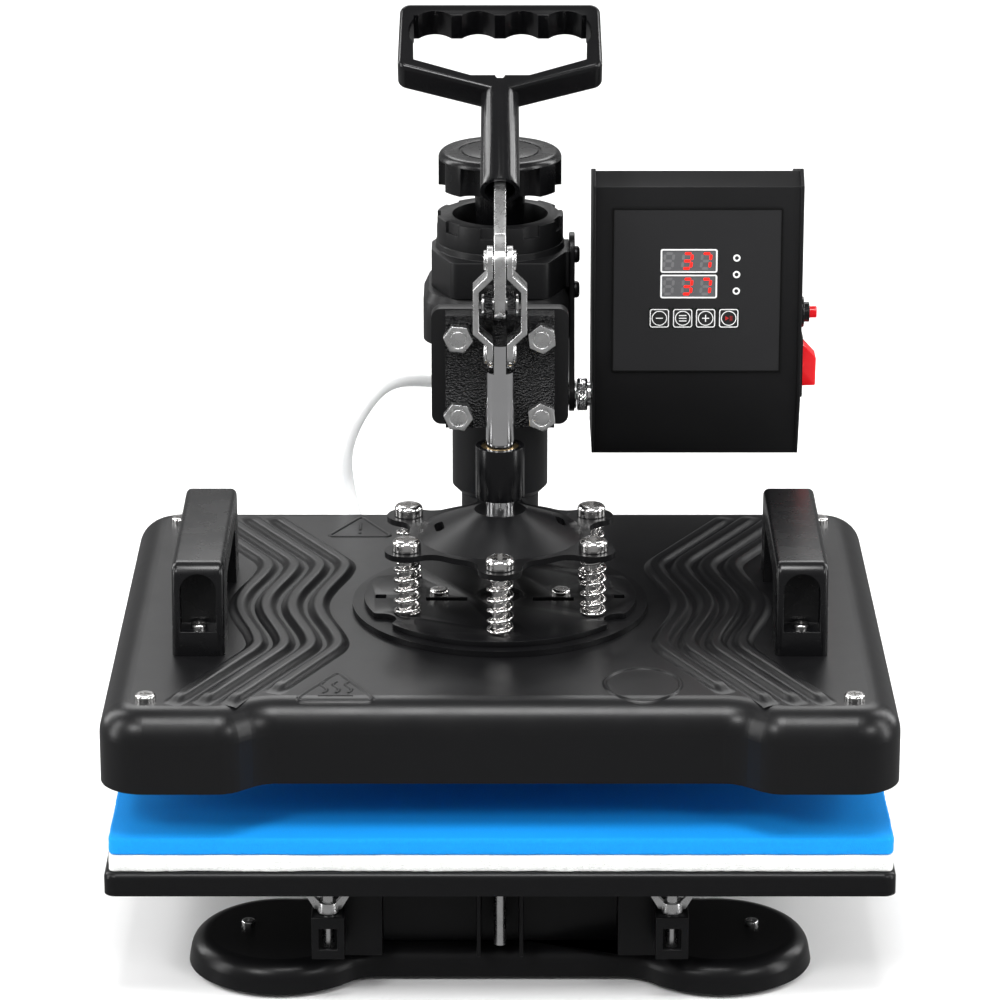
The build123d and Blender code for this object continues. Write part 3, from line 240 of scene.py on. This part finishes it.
# ---- materials ---------------------------------------------------------------------------
def material(name, color, roughness, metallic=0.0, grain=0.0, grain_scale=1500.0, depth=0.1, mottle=0.0,
             mottle_scale=60.0, rough_swing=0.06, kind="noise", above=None, **sockets):
    """Procedural material: mottled colour, uneven roughness and a fine bump, all over or above a height."""
    made = bpy.data.materials.new(name)
    made.use_nodes = True
    nodes = made.node_tree.nodes
    links = made.node_tree.links
    shader = nodes["Principled BSDF"]
    shader.inputs["Base Color"].default_value = (*color, 1.0)
    shader.inputs["Roughness"].default_value = roughness
    shader.inputs["Metallic"].default_value = metallic
    for socket, value in sockets.items():
        shader.inputs[socket.replace("_", " ")].default_value = value
    place_node = nodes.new("ShaderNodeTexCoord")
    coarse = nodes.new("ShaderNodeTexNoise")
    coarse.inputs["Scale"].default_value = mottle_scale
    coarse.inputs["Detail"].default_value = 5.0
    links.new(place_node.outputs["Object"], coarse.inputs["Vector"])
    swing = nodes.new("ShaderNodeMapRange")
    swing.inputs["To Min"].default_value = max(roughness - rough_swing, 0.02)
    swing.inputs["To Max"].default_value = min(roughness + rough_swing, 1.0)
    links.new(coarse.outputs["Fac"], swing.inputs["Value"])
    links.new(swing.outputs["Result"], shader.inputs["Roughness"])
    if mottle:
        ramp = nodes.new("ShaderNodeValToRGB")
        ramp.color_ramp.elements[0].position = 0.3
        ramp.color_ramp.elements[1].position = 0.7
        ramp.color_ramp.elements[0].color = (*[c * (1 - mottle) for c in color], 1.0)
        ramp.color_ramp.elements[1].color = (*[min(c * (1 + mottle), 1.0) for c in color], 1.0)
        links.new(coarse.outputs["Fac"], ramp.inputs["Fac"])
        links.new(ramp.outputs["Color"], shader.inputs["Base Color"])
    if grain:
        if kind == "voronoi":
            fine = nodes.new("ShaderNodeTexVoronoi")
            output = fine.outputs["Distance"]
        else:
            fine = nodes.new("ShaderNodeTexNoise")
            fine.inputs["Detail"].default_value = 3.0
            output = fine.outputs["Fac"]
        fine.inputs["Scale"].default_value = grain_scale
        links.new(place_node.outputs["Object"], fine.inputs["Vector"])
        bump = nodes.new("ShaderNodeBump")
        bump.inputs["Strength"].default_value = grain
        bump.inputs["Distance"].default_value = depth * MM
        links.new(output, bump.inputs["Height"])
        links.new(bump.outputs["Normal"], shader.inputs["Normal"])
        if above is not None:
            split = nodes.new("ShaderNodeSeparateXYZ")
            links.new(place_node.outputs["Object"], split.inputs["Vector"])
            higher = nodes.new("ShaderNodeMath")
            higher.operation = "GREATER_THAN"
            higher.inputs[1].default_value = above
            links.new(split.outputs["Z"], higher.inputs[0])
            links.new(higher.outputs["Value"], bump.inputs["Strength"])
    return made


def make_materials():
    """One material for each of the record's slots, and the printed marks."""
    dull = {"Specular_IOR_Level": 0.22}
    made = {
        "black_enamel": material("black_enamel", (0.0045, 0.0045, 0.005), 0.32, grain=0.2,
                                 grain_scale=900, depth=0.04, **dull),
        "satin_black": material("satin_black", (0.008, 0.008, 0.0085), 0.40, grain=0.35,
                                grain_scale=1300, depth=0.06, **dull),
        "wrinkle_black": material("wrinkle_black", (0.003, 0.003, 0.0035), 0.20, grain=1.0,
                                  grain_scale=1000, depth=1.3, kind="voronoi", above=0.243,
                                  Specular_IOR_Level=0.32),
        "cover_black": material("cover_black", (0.0045, 0.0045, 0.005), 0.33, grain=0.4,
                                grain_scale=1500, depth=0.06, Specular_IOR_Level=0.33),
        "case_black": material("case_black", (0.0085, 0.0085, 0.009), 0.42, grain=0.2,
                               grain_scale=1800, depth=0.03, **dull),
        "panel_film": material("panel_film", (0.018, 0.018, 0.019), 0.50, grain=0.12,
                               grain_scale=2200, depth=0.02, **dull),
        "display_window": material("display_window", (0.105, 0.105, 0.11), 0.30, grain=0.1,
                                   grain_scale=900, depth=0.02),
        "board_green": material("board_green", (0.02, 0.14, 0.05), 0.45, mottle=0.2),
        "handle_plastic": material("handle_plastic", (0.0025, 0.0025, 0.003), 0.22, grain=0.1,
                                   grain_scale=700, depth=0.02, Specular_IOR_Level=0.4),
        "black_plastic": material("black_plastic", (0.003, 0.003, 0.0035), 0.27, grain=0.2,
                                  grain_scale=1400, depth=0.03, Specular_IOR_Level=0.38),
        "red_plastic": material("red_plastic", (0.80, 0.002, 0.008), 0.25, grain=0.05,
                                grain_scale=600, depth=0.02, mottle=0.05),
        "rubber": material("rubber", (0.006, 0.006, 0.006), 0.75, grain=0.5, grain_scale=1500, **dull),
        "dark_screw": material("dark_screw", (0.02, 0.02, 0.021), 0.35, metallic=0.6, grain=0.2),
        "zinc": material("zinc", (0.80, 0.80, 0.80), 0.28, metallic=1.0, grain=0.35, grain_scale=700,
                         depth=0.04, mottle=0.10, mottle_scale=220, rough_swing=0.10),
        "nickel": material("nickel", (0.78, 0.77, 0.76), 0.18, metallic=1.0, grain=0.15,
                           grain_scale=800, depth=0.02, mottle=0.04),
        "chrome": material("chrome", (0.85, 0.85, 0.86), 0.12, metallic=1.0, grain=0.05,
                           grain_scale=500, depth=0.01, mottle=0.03, rough_swing=0.02),
        "aluminium": material("aluminium", (0.62, 0.62, 0.63), 0.30, metallic=1.0, grain=0.2,
                              grain_scale=900, depth=0.03, mottle=0.05),
        "brass": material("brass", (0.55, 0.40, 0.20), 0.35, metallic=1.0, grain=0.4, mottle=0.1),
        "white_felt": material("white_felt", (0.78, 0.79, 0.77), 0.95, grain=0.9, grain_scale=1300,
                               depth=0.7, mottle=0.08, mottle_scale=500),
        "blue_sponge": material("blue_sponge", (0.0008, 0.265, 0.74), 0.80, grain=0.7,
                                grain_scale=2300, depth=0.3, mottle=0.06, mottle_scale=900,
                                Specular_IOR_Level=0.25),
        "cable_sleeve": material("cable_sleeve", (0.86, 0.87, 0.87), 0.30, grain=0.4, grain_scale=900,
                                 depth=0.06, mottle=0.05, Alpha=0.72),
        "print_white": material("print_white", (0.85, 0.85, 0.85), 0.5, mottle=0.02),
        "print_red": material("print_red", (0.85, 0.01, 0.005), 0.4, mottle=0.05,
                              Emission_Strength=0.8, Emission_Color=(1.0, 0.012, 0.006, 1.0)),
        "print_dim_red": material("print_dim_red", (0.42, 0.012, 0.012), 0.5, mottle=0.05),
        "print_ghost": material("print_ghost", (0.165, 0.165, 0.17), 0.4, mottle=0.05),
        "print_dark": material("print_dark", (0.002, 0.002, 0.002), 0.45, mottle=0.1, **dull),
    }
    return made


# ---- cords -------------------------------------------------------------------------------
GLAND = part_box("cover_gland")
GLAND_X = (GLAND[0].x + GLAND[1].x) / 2 / MM
GLAND_Z = (GLAND[0].z + GLAND[1].z) / 2 / MM
GLAND_Y = ROD_Y / MM + 155
CLIP_Y = ROD_Y / MM + 222
CLIP_Z = 203.0
CABLE_R = 3.4


def route_line(name, points_mm):
    """Smooth line through a cable's route, as points read from a NURBS spline."""
    curve = bpy.data.curves.new(name, "CURVE")
    curve.dimensions = "3D"
    curve.resolution_u = 16
    spline = curve.splines.new("NURBS")
    spline.points.add(len(points_mm) - 1)
    for point, place_mm in zip(spline.points, points_mm):
        point.co = (*[c * MM for c in place_mm], 1.0)
    spline.order_u = 3
    spline.use_endpoint_u = True
    holder = bpy.data.objects.new(name, curve)
    bpy.context.scene.collection.objects.link(holder)
    graph = bpy.context.evaluated_depsgraph_get()
    line = bpy.data.meshes.new_from_object(holder.evaluated_get(graph))
    points = [v.co.copy() for v in line.vertices]
    bpy.data.objects.remove(holder)
    return points


def lay_cord(name, node, points_mm):
    """Taut cable along a route, standing for its CAD node."""
    line = route_line(name + "_line", points_mm)
    cable = tube_mesh(name, [line], CABLE_R * MM, 20)
    cable.data.materials.append(materials["cable_sleeve"])
    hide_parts(node)
    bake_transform(cable)


def make_cords():
    """The heater cable from the platen to the clip, and the lead from the clip to the controller."""
    heater = [(GLAND_X, GLAND_Y - 3, GLAND_Z), (GLAND_X, GLAND_Y + 20, GLAND_Z),
              (GLAND_X - 6, GLAND_Y + 36, GLAND_Z + 17), (GLAND_X - 8, GLAND_Y + 35, GLAND_Z + 38),
              (GLAND_X, GLAND_Y + 38, GLAND_Z + 59), (GLAND_X + 15, GLAND_Y + 48, GLAND_Z + 75),
              (GLAND_X + 35, GLAND_Y + 61, GLAND_Z + 72), (-20, CLIP_Y, CLIP_Z), (0, CLIP_Y, CLIP_Z)]
    lay_cord("heater_cable_run", "heater_cable", heater)
    lead = [(0, CLIP_Y, CLIP_Z), (16, CLIP_Y, CLIP_Z), (32, ROD_Y / MM + 213, CLIP_Z + 1),
            (52.5, ROD_Y / MM + 212, CLIP_Z + 2)]
    lay_cord("controller_lead_run", "controller_lead", lead)


# ---- cover -------------------------------------------------------------------------------
RIM_R = 15.0
HALF_Y = 155.0
RECESS = 14.0  # depth of the set-back in the middle of the front
RECESS_EDGE = 114.0  # where the set-back starts to run out, from the middle
RECESS_RUN = 16.0


def cover_height(x, y):
    """Height in mm of the cover's top at (x, y) from the ram, rounded down at the front and rear."""
    share = min(max((abs(x) - RECESS_EDGE) / RECESS_RUN, 0), 1)
    front = -HALF_Y + RECESS * (1 - share)
    d = min(y - front, HALF_Y - y, RIM_R)
    drop = RIM_R - sqrt(max(RIM_R**2 - (RIM_R - d)**2, 0))
    return COVER_TOP / MM - drop


def ribbon(name, paths, half_width, height, flat=0.4, across=12, closed=False, sink=0.03, taper=0):
    """Raised band on the cover's top along each (x, y) path in mm, rounded across."""
    verts = []
    faces = []
    for path in paths:
        start = len(verts)
        count = len(path)
        for i, (x, y) in enumerate(path):
            before = path[i - 1] if closed or i else path[i]
            after = path[(i + 1) % count] if closed or i < count - 1 else path[i]
            along = Vector((after[0] - before[0], after[1] - before[1])).normalized()
            side = Vector((-along.y, along.x))
            fade = 1.0
            if taper and not closed:
                fade = min(i, count - 1 - i, taper) / taper
                fade = fade * fade * (3 - 2 * fade)
            for k in range(across + 1):
                s = 2 * k / across - 1
                t = min(max((abs(s) - flat) / (1 - flat), 0), 1)
                rise = 1 - t * t * (3 - 2 * t)
                px, py = x + side.x * s * half_width, y + side.y * s * half_width
                z = cover_height(px, py) - sink + height * rise * fade
                verts.append(Vector((px, py + ROD_Y / MM, z)) * MM)
        row = across + 1
        for i in range(count if closed else count - 1):
            a = start + i * row
            b = start + ((i + 1) % count) * row
            for k in range(across):
                faces.append([a + k, b + k, b + k + 1, a + k + 1])
    return new_object(name, verts, faces, 80.0)


KNEE_X = 80.0
KNEE_Y = 62.0
RIB_PITCH = 13.4


def rib_x(k, y):
    """Distance of rib k from the middle at depth y: a waist between two knees, then straight diagonals."""
    knee = KNEE_X + RIB_PITCH * k
    if abs(y) < KNEE_Y:
        return knee + 12.5 * (1 + cos(pi * y / KNEE_Y)) / 2
    slope = 0.56 if y > 0 else 0.50
    return knee + slope * (abs(y) - KNEE_Y)


def rib_path(k, side):
    """Rib k's middle line from front to rear, with its knees rounded."""
    rear = HALF_Y - RIM_R - 1
    front = RIM_R + 1 - HALF_Y if k else RIM_R + 2 - HALF_Y + RECESS
    path = []
    for y in range(int(front), int(rear) + 1, 2):
        near = [rib_x(k, y + step) for step in (-7, -4.7, -2.3, 0, 2.3, 4.7, 7)]
        path.append((side * sum(near) / len(near), y))
    return path


def corner_path(points, radius, steps=5):
    """Closed (x, y) outline with each corner rounded."""
    path = []
    count = len(points)
    for i in range(count):
        here = Vector(points[i])
        before = Vector(points[i - 1])
        after = Vector(points[(i + 1) % count])
        a = here + (before - here).normalized() * radius
        b = here + (after - here).normalized() * radius
        for k in range(steps + 1):
            t = k / steps
            path.append(tuple(a * (1 - t)**2 + here * 2 * t * (1 - t) + b * t * t))
    return path


def fill_path(path, step=3.0):
    """Adds points to a closed path so that it follows the surface."""
    full = []
    for a, b in zip(path, path[1:] + path[:1]):
        run = Vector(b) - Vector(a)
        pieces = max(1, int(run.length / step))
        full += [tuple(Vector(a) + run * k / pieces) for k in range(pieces)]
    return full


REAR_SIGN = [(-92, 106), (-57, 106), (-74.5, 139)]
FRONT_SIGN = [(-99, -132), (-60, -132), (-79.5, -95)]
OVAL_X, OVAL_Y = 69.5, -111
OVAL_HALF_X, OVAL_HALF_Y = 18.5, 21


def make_cover():
    """Zigzag ribs and generic raised signs on the cover."""
    paths = [rib_path(k, side) for k in range(4) for side in (-1, 1)]
    place(ribbon("cover_ribs", paths, 5.8, 2.6, flat=0.30, taper=5), "hot_platen", "cover_black")
    signs = [fill_path(corner_path(points, 5)) for points in (REAR_SIGN, FRONT_SIGN)]
    signs.append([(OVAL_X + OVAL_HALF_X * cos(a / 24 * pi), OVAL_Y + OVAL_HALF_Y * sin(a / 24 * pi))
                  for a in range(48)])
    place(ribbon("cover_signs", signs, 1.3, 0.7, flat=0.3, across=6, closed=True), "hot_platen",
          "cover_black")
    strokes = []
    for x in (-85.5, -79.5, -73.5):
        strokes.append([(x + 1.6 * sin(k / 10 * 2 * pi), -123 + 1.5 * k) for k in range(11)])
    strokes.append([(-88 + 1.7 * k, -126.5) for k in range(11)])
    strokes.append([(-74.5, 117 + k) for k in range(12)])
    strokes.append([(-74.5, 111 + k) for k in range(3)])
    place(ribbon("cover_sign_marks", strokes, 1.0, 0.55, flat=0.2, across=4), "hot_platen", "cover_black")


# ---- springs -----------------------------------------------------------------------------
POST_R = 54.0
WIRE_R = 0.95
COIL_R = 5.85
TURNS = 6.5
CLOSED_TURNS = 0.7  # flat turns at each end
TURN_STEPS = 20


def make_springs():
    """Six steel coils with closed ends on the spring posts."""
    low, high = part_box("springs")
    bottom, top = low.z / MM + WIRE_R, high.z / MM - WIRE_R
    paths = []
    for post in range(6):
        angle = radians(60 * post - 90)
        cx, cy = POST_R * cos(angle), ROD_Y / MM + POST_R * sin(angle)
        path = []
        steps = int(TURNS * TURN_STEPS)
        for k in range(steps + 1):
            turn = k / TURN_STEPS
            rise = min(max((turn - CLOSED_TURNS) / (TURNS - 2 * CLOSED_TURNS), 0), 1)
            z = bottom + (top - bottom) * rise
            twist = 2 * pi * turn + post
            path.append(Vector((cx + COIL_R * cos(twist), cy + COIL_R * sin(twist), z)) * MM)
        paths.append(path)
    coils = tube_mesh("spring_coils", paths, WIRE_R * MM, 9)
    place(coils, "hot_platen", "nickel", "springs")
    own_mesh(coils)


# ---- pads --------------------------------------------------------------------------------
def slab(name, low, high, corner, edge, rough, shift_x, seed):
    """Soft flat pad: rounded corners and edges, and sides that wander a little."""
    x0, x1 = low.x / MM + shift_x, high.x / MM + shift_x
    y0, y1 = low.y / MM, high.y / MM
    z0, z1 = low.z / MM, high.z / MM
    outline = fill_path(round_box_outline(x0, x1, y0, y1, corner), 2.5)
    centre = Vector(((x0 + x1) / 2, (y0 + y1) / 2))
    levels = [(60.0, z0), (12.0, z0), (edge, z0), (edge * 0.3, z0 + edge * 0.3), (0.0, z0 + edge)]
    middle = 4
    levels += [(0.0, z0 + edge + (z1 - z0 - 2 * edge) * k / middle) for k in range(1, middle)]
    levels += [(0.0, z1 - edge), (edge * 0.3, z1 - edge * 0.3), (edge, z1), (12.0, z1), (60.0, z1)]
    verts = []
    for inset, z in levels:
        for x, y in outline:
            inward = Vector((min(max(x, x0 + corner), x1 - corner), min(max(y, y0 + corner), y1 - corner)))
            out = (Vector((x, y)) - inward)
            out = out.normalized() if out.length > 1e-6 else Vector((0, 0))
            wander = noise.noise(Vector((x * 0.05, y * 0.05, seed))) * rough
            wander += noise.noise(Vector((x * 0.35, y * 0.35, z * 0.3 + seed))) * rough * 0.6
            if inset > 1.5 * edge:
                toward = (centre - Vector((x, y)))
                px = x + toward.x * inset / max(abs(toward.x), abs(toward.y), inset)
                py = y + toward.y * inset / max(abs(toward.x), abs(toward.y), inset)
            else:
                px, py = x + out.x * (wander - inset), y + out.y * (wander - inset)
            verts.append(Vector((px, py, z)) * MM)
    count = len(outline)
    faces = []
    for level in range(len(levels) - 1):
        for i in range(count):
            j = (i + 1) % count
            a, b = level * count, (level + 1) * count
            faces.append([a + i, a + j, b + j, b + i])
    faces.append(list(range(count))[::-1])
    faces.append([(len(levels) - 1) * count + i for i in range(count)])
    return new_object(name, verts, faces, 60.0)


def make_pads():
    """Blue silicone sponge on white felt."""
    sponge = slab("sponge_slab", *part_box("sponge_pad"), 4.0, 1.4, 0.35, 0.5, 3.0)
    place(sponge, "base", "blue_sponge", "sponge_pad")
    felt = slab("felt_slab", *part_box("felt_pad"), 3.0, 0.9, 0.7, 0.5, 8.0)
    place(felt, "base", "white_felt", "felt_pad")


# ---- controller --------------------------------------------------------------------------
SEGMENTS = {"a": ((0.0, 1.0), (1.0, 1.0)), "b": ((1.0, 1.0), (1.0, 0.5)), "c": ((1.0, 0.5), (1.0, 0.0)),
            "d": ((0.0, 0.0), (1.0, 0.0)), "e": ((0.0, 0.0), (0.0, 0.5)), "f": ((0.0, 0.5), (0.0, 1.0)),
            "g": ((0.0, 0.5), (1.0, 0.5))}
DIGIT_WIDE = 4.6
DIGIT_HIGH = 8.2
STROKE = 0.74
SLANT = 0.10
DISPLAY_ROWS = (274.9, 289.0)
CELL_X = 86.7
CELL_PITCH = 9.9
LAMP_X = 125.5
LAMP_ROWS = (296.4, 287.3, 278.2)


def segment_outline(x, z, name):
    """One bar of a seven-segment digit whose lower left corner is at (x, z)."""
    (u0, v0), (u1, v1) = SEGMENTS[name]
    a = Vector((x + u0 * DIGIT_WIDE, z + v0 * DIGIT_HIGH))
    b = Vector((x + u1 * DIGIT_WIDE, z + v1 * DIGIT_HIGH))
    along = (b - a).normalized()
    side = Vector((-along.y, along.x)) * STROKE
    a, b = a + along * 0.45, b - along * 0.45
    points = [a, a + along * STROKE * 0.7 + side, b - along * STROKE * 0.7 + side, b,
              b - along * STROKE * 0.7 - side, a + along * STROKE * 0.7 - side]
    return [(p.x + SLANT * (p.y - z), p.y) for p in points]


def make_displays():
    """Two three-digit displays with white frames, lit red on the two right digits."""
    low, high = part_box("display_module")
    face = low.y / MM
    lit = []
    ghost = []
    for z in DISPLAY_ROWS:
        for cell, shown in enumerate(("", "abcdg", "abc")):
            x = CELL_X + CELL_PITCH * cell
            for name in SEGMENTS:
                (lit if name in shown else ghost).append(segment_outline(x, z + 1.6, name))
    for name, outlines, height, print_name in (("display_digits", lit, 0.10, "print_red"),
                                               ("display_ghosts", ghost, 0.05, "print_ghost")):
        digits = prism(name, outlines, face - height, face + 0.02)
        place(digits, "controller", "display_window")
        digits.data.materials[0] = materials[print_name]
    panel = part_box("front_panel")[0].y / MM
    rings = [(round_box_outline(85.1, 115.3, z - 0.7, z + 12.3, 1.2),
              round_box_outline(86.0, 114.4, z + 0.1, z + 11.5, 0.5)) for z in DISPLAY_ROWS]
    rings += [(circle_outline(LAMP_X, z, 1.95), circle_outline(LAMP_X, z, 1.05)) for z in LAMP_ROWS]
    marks = place(ring_prism("panel_marks", rings, panel - 0.12, panel + 0.05), "controller",
                  "panel_film")
    marks.data.materials[0] = materials["print_white"]


def make_keys():
    """Rounded-square key prints with a ring and a plain symbol on each key."""
    for node in ("key_minus", "key_mode", "key_plus", "key_start"):
        low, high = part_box(node)
        x, z = (low.x + high.x) / 2 / MM, (low.z + high.z) / 2 / MM
        face = low.y / MM
        half = (high.x - low.x) / 2 / MM
        rings = [(round_box_outline(x - half + 0.1, x + half - 0.1, z - half + 0.1, z + half - 0.1, 1.3),
                  round_box_outline(x - half + 0.6, x + half - 0.6, z - half + 0.6, z + half - 0.6, 0.9)),
                 (circle_outline(x, z, 4.1), circle_outline(x, z, 3.65))]
        print_piece = place(ring_prism(node + "_frame", rings, face - 0.08, face + 0.05), node,
                            "panel_film")
        print_piece.data.materials[0] = materials["print_white"]
        bar = 0.26
        if node == "key_minus":
            marks = [round_box_outline(x - 1.9, x + 1.9, z - bar, z + bar, 0.1)]
        elif node == "key_plus":
            marks = [round_box_outline(x - 1.9, x + 1.9, z - bar, z + bar, 0.1),
                     round_box_outline(x - bar, x + bar, z + bar, z + 1.9, 0.1),
                     round_box_outline(x - bar, x + bar, z - 1.9, z - bar, 0.1)]
        elif node == "key_mode":
            marks = [round_box_outline(x - 2.0, x + 2.0, z + k - bar, z + k + bar, 0.1)
                     for k in (-1.5, 0, 1.5)]
        else:
            marks = [[(x - 1.8, z - 1.3), (x + 0.1, z), (x - 1.8, z + 1.3)],
                     round_box_outline(x + 0.6, x + 0.95, z - 1.3, z + 1.3, 0.1),
                     round_box_outline(x + 1.5, x + 1.85, z - 1.3, z + 1.3, 0.1)]
        symbol = place(prism(node + "_symbol", marks, face - 0.08, face + 0.05), node, "panel_film")
        symbol.data.materials[0] = materials["print_dim_red" if node == "key_start" else "print_white"]


def make_side_plates():
    """Two folded side plates that stand a little proud of the controller's case."""
    low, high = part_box("controller_shell")
    front, back = low.y / MM, high.y / MM
    outline = [(front - 1.2, 217), (front - 1.2, 335.8), (front + 8.6, 342.8), (back, 326.2),
               (back, 183.3), (front + 12.4, 183.3)]
    count = len(outline)
    verts = []
    faces = []
    for x0, x1 in ((low.x / MM - 0.1, low.x / MM + 1.2), (high.x / MM - 1.2, high.x / MM + 0.7)):
        start = len(verts)
        for x in (x0, x1):
            verts += [Vector((x, y, z)) * MM for y, z in outline]
        faces.append([start + i for i in range(count)])
        faces.append([start + count + i for i in range(count)][::-1])
        for i in range(count):
            j = (i + 1) % count
            faces.append([start + i, start + j, start + count + j, start + count + i])
    plates = new_object("controller_side_plates", verts, faces, 30.0)
    soften(plates, 0.5)
    place(plates, "controller", "case_black")


def make_panel_edge():
    """Dark raised line round the panel."""
    low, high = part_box("front_panel")
    x0, x1, z0, z1 = low.x / MM, high.x / MM, low.z / MM, high.z / MM
    outer = round_box_outline(x0 - 0.5, x1 + 0.5, z0 - 0.5, z1 + 0.5, 1.0)
    inner = round_box_outline(x0 + 0.4, x1 - 0.4, z0 + 0.4, z1 - 0.4, 0.5)
    ring = ring_prism("panel_edge", [(outer, inner)], low.y / MM - 0.25, high.y / MM)
    soften(ring, 0.12)
    place(ring, "controller", "panel_film")
    ring.data.materials[0] = materials["print_dark"]


def make_controller():
    """Side plates, panel edge, displays and key prints of the controller box."""
    make_side_plates()
    make_panel_edge()
    make_displays()
    make_keys()


# ---- thumb nut ---------------------------------------------------------------------------
NUT_RIM_R = 8.95
RIDGE = 0.35
RIDGE_PAIRS = 18


def make_thumb_nut():
    """Knurled clamp nut: crossed ridges round its rim."""
    low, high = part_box("thumb_nut")
    cy, cz = (low.y + high.y) / 2, (low.z + high.z) / 2
    x0 = low.x / MM
    verts = []
    faces = []
    sides = 144
    rows = [(3.1, 0.0), (8.2, 0.0), (8.9, 0.8)] + [(9.0, 0.8 + 4.0 * k / 12) for k in range(1, 12)]
    rows += [(8.9, 4.8), (8.2, 5.6), (6.4, 5.6), (6.4, 7.2), (6.2, 7.4), (3.1, 7.4)]
    for k in range(sides):
        angle = 2 * pi * k / sides
        for r, h in rows:
            radius = r
            if r > NUT_RIM_R:
                turn = RIDGE_PAIRS * angle
                radius = NUT_RIM_R - RIDGE * abs(sin(turn + h * 1.6)) - RIDGE * abs(sin(turn - h * 1.6))
            verts.append(Vector((x0 * MM + h * MM, cy + radius * cos(angle) * MM,
                                 cz + radius * sin(angle) * MM)))
    count = len(rows)
    for k in range(sides):
        n = (k + 1) % sides
        for i in range(count):
            j = (i + 1) % count
            faces.append([k * count + i, n * count + i, n * count + j, k * count + j])
    place(new_object("thumb_nut_knurled", verts, faces, 30.0), "thumb_nut", "chrome", "thumb_nut")


# ---- rounded CAD pieces ------------------------------------------------------------------
ROUNDED = {
    "side_handles": 2.2, "handle_grip": 2.4, "toggle_block": 0.9, "arm_casting": 2.0,
    "controller_shell": 1.2, "support_frame": 1.0, "wing_brackets": 0.7, "lever_bar": 0.7,
    "link_plates": 0.55, "pressure_knob": 1.0, "lock_ring": 0.6, "housing_shell": 0.8,
    "block_bolts": 0.45, "rocker": 0.6, "rocker_frame": 0.5, "lobed_plate": 0.5,
    "wing_nut_left": 0.5, "wing_nut_right": 0.5, "breaker_bezel": 0.4,
    "controller_bracket": 0.5, "mains_inlet": 0.4, "cover_gland": 0.5, "cable_clip": 0.4,
    "link_rivets": 0.5, "fork_pin": 0.4, "tilt_stud": 0.4, "column_post": 0.8, "rubber_feet": 1.0,
}


def round_nodes():
    """Gives each stamped, cast or moulded piece its rounded edges."""
    for node, width in ROUNDED.items():
        rounded_copy(node, width)


def paint_nodes():
    """Puts the slot's material on every CAD node that still shows."""
    for node, made in frame["nodes"].items():
        if made.hide_render:
            continue
        for index in range(len(made.data.materials)):
            made.material_slots[index].material = materials[slot_of_node[node]]
        if not made.data.materials:
            made.data.materials.append(materials[slot_of_node[node]])


# ---- stage -------------------------------------------------------------------------------
def area_light(name, place_at, target, size, energy, shape_y=None):
    """Soft rectangular light that faces a target."""
    data = bpy.data.lights.new(name, "AREA")
    data.shape = "RECTANGLE"
    data.size = size
    data.size_y = shape_y or size
    data.energy = energy
    light = bpy.data.objects.new(name, data)
    light.location = place_at
    light.rotation_euler = (Vector(target) - Vector(place_at)).to_track_quat("-Z", "Y").to_euler()
    bpy.context.scene.collection.objects.link(light)


def make_stage():
    """Pale floor and soft studio lights."""
    reach = 9.0
    floor = new_object("floor", [(-reach, -reach, 0), (reach, -reach, 0), (reach, reach, 0),
                                 (-reach, reach, 0)], [[0, 1, 2, 3]])
    floor.data.materials.append(material("floor_pale", (0.95, 0.95, 0.95), 0.9, mottle=0.005))
    floor.visible_glossy = False
    world = bpy.data.worlds.new("studio")
    bpy.context.scene.world = world
    world.use_nodes = True
    world.node_tree.nodes["Background"].inputs["Color"].default_value = (1.0, 1.0, 1.0, 1.0)
    world.node_tree.nodes["Background"].inputs["Strength"].default_value = 0.26
    target = (0, 0, 0.15)
    area_light("key", (-1.0, -1.5, 1.6), target, size=0.5, energy=18)
    area_light("fill", (1.3, -1.4, 1.2), target, size=0.5, energy=9)
    area_light("top", (0, -0.75, 1.9), target, size=0.7, energy=26)
    for side, sign in (("left", -1), ("right", 1)):
        area_light("strip_" + side, (1.5 * sign, -0.35, 0.6), target, size=0.3, energy=11, shape_y=1.3)
    for side, sign in (("left", -1), ("right", 1)):
        area_light("rim_" + side, (1.3 * sign, 0.7, 0.9), target, size=0.3, energy=12, shape_y=1.4)
    area_light("backdrop", (0, 3.4, 2.6), (0, 3.8, 0), size=3.0, energy=130)


make_camera()
materials = make_materials()
make_cords()
make_cover()
make_springs()
make_pads()
make_controller()
make_thumb_nut()
round_nodes()
paint_nodes()
make_stage()
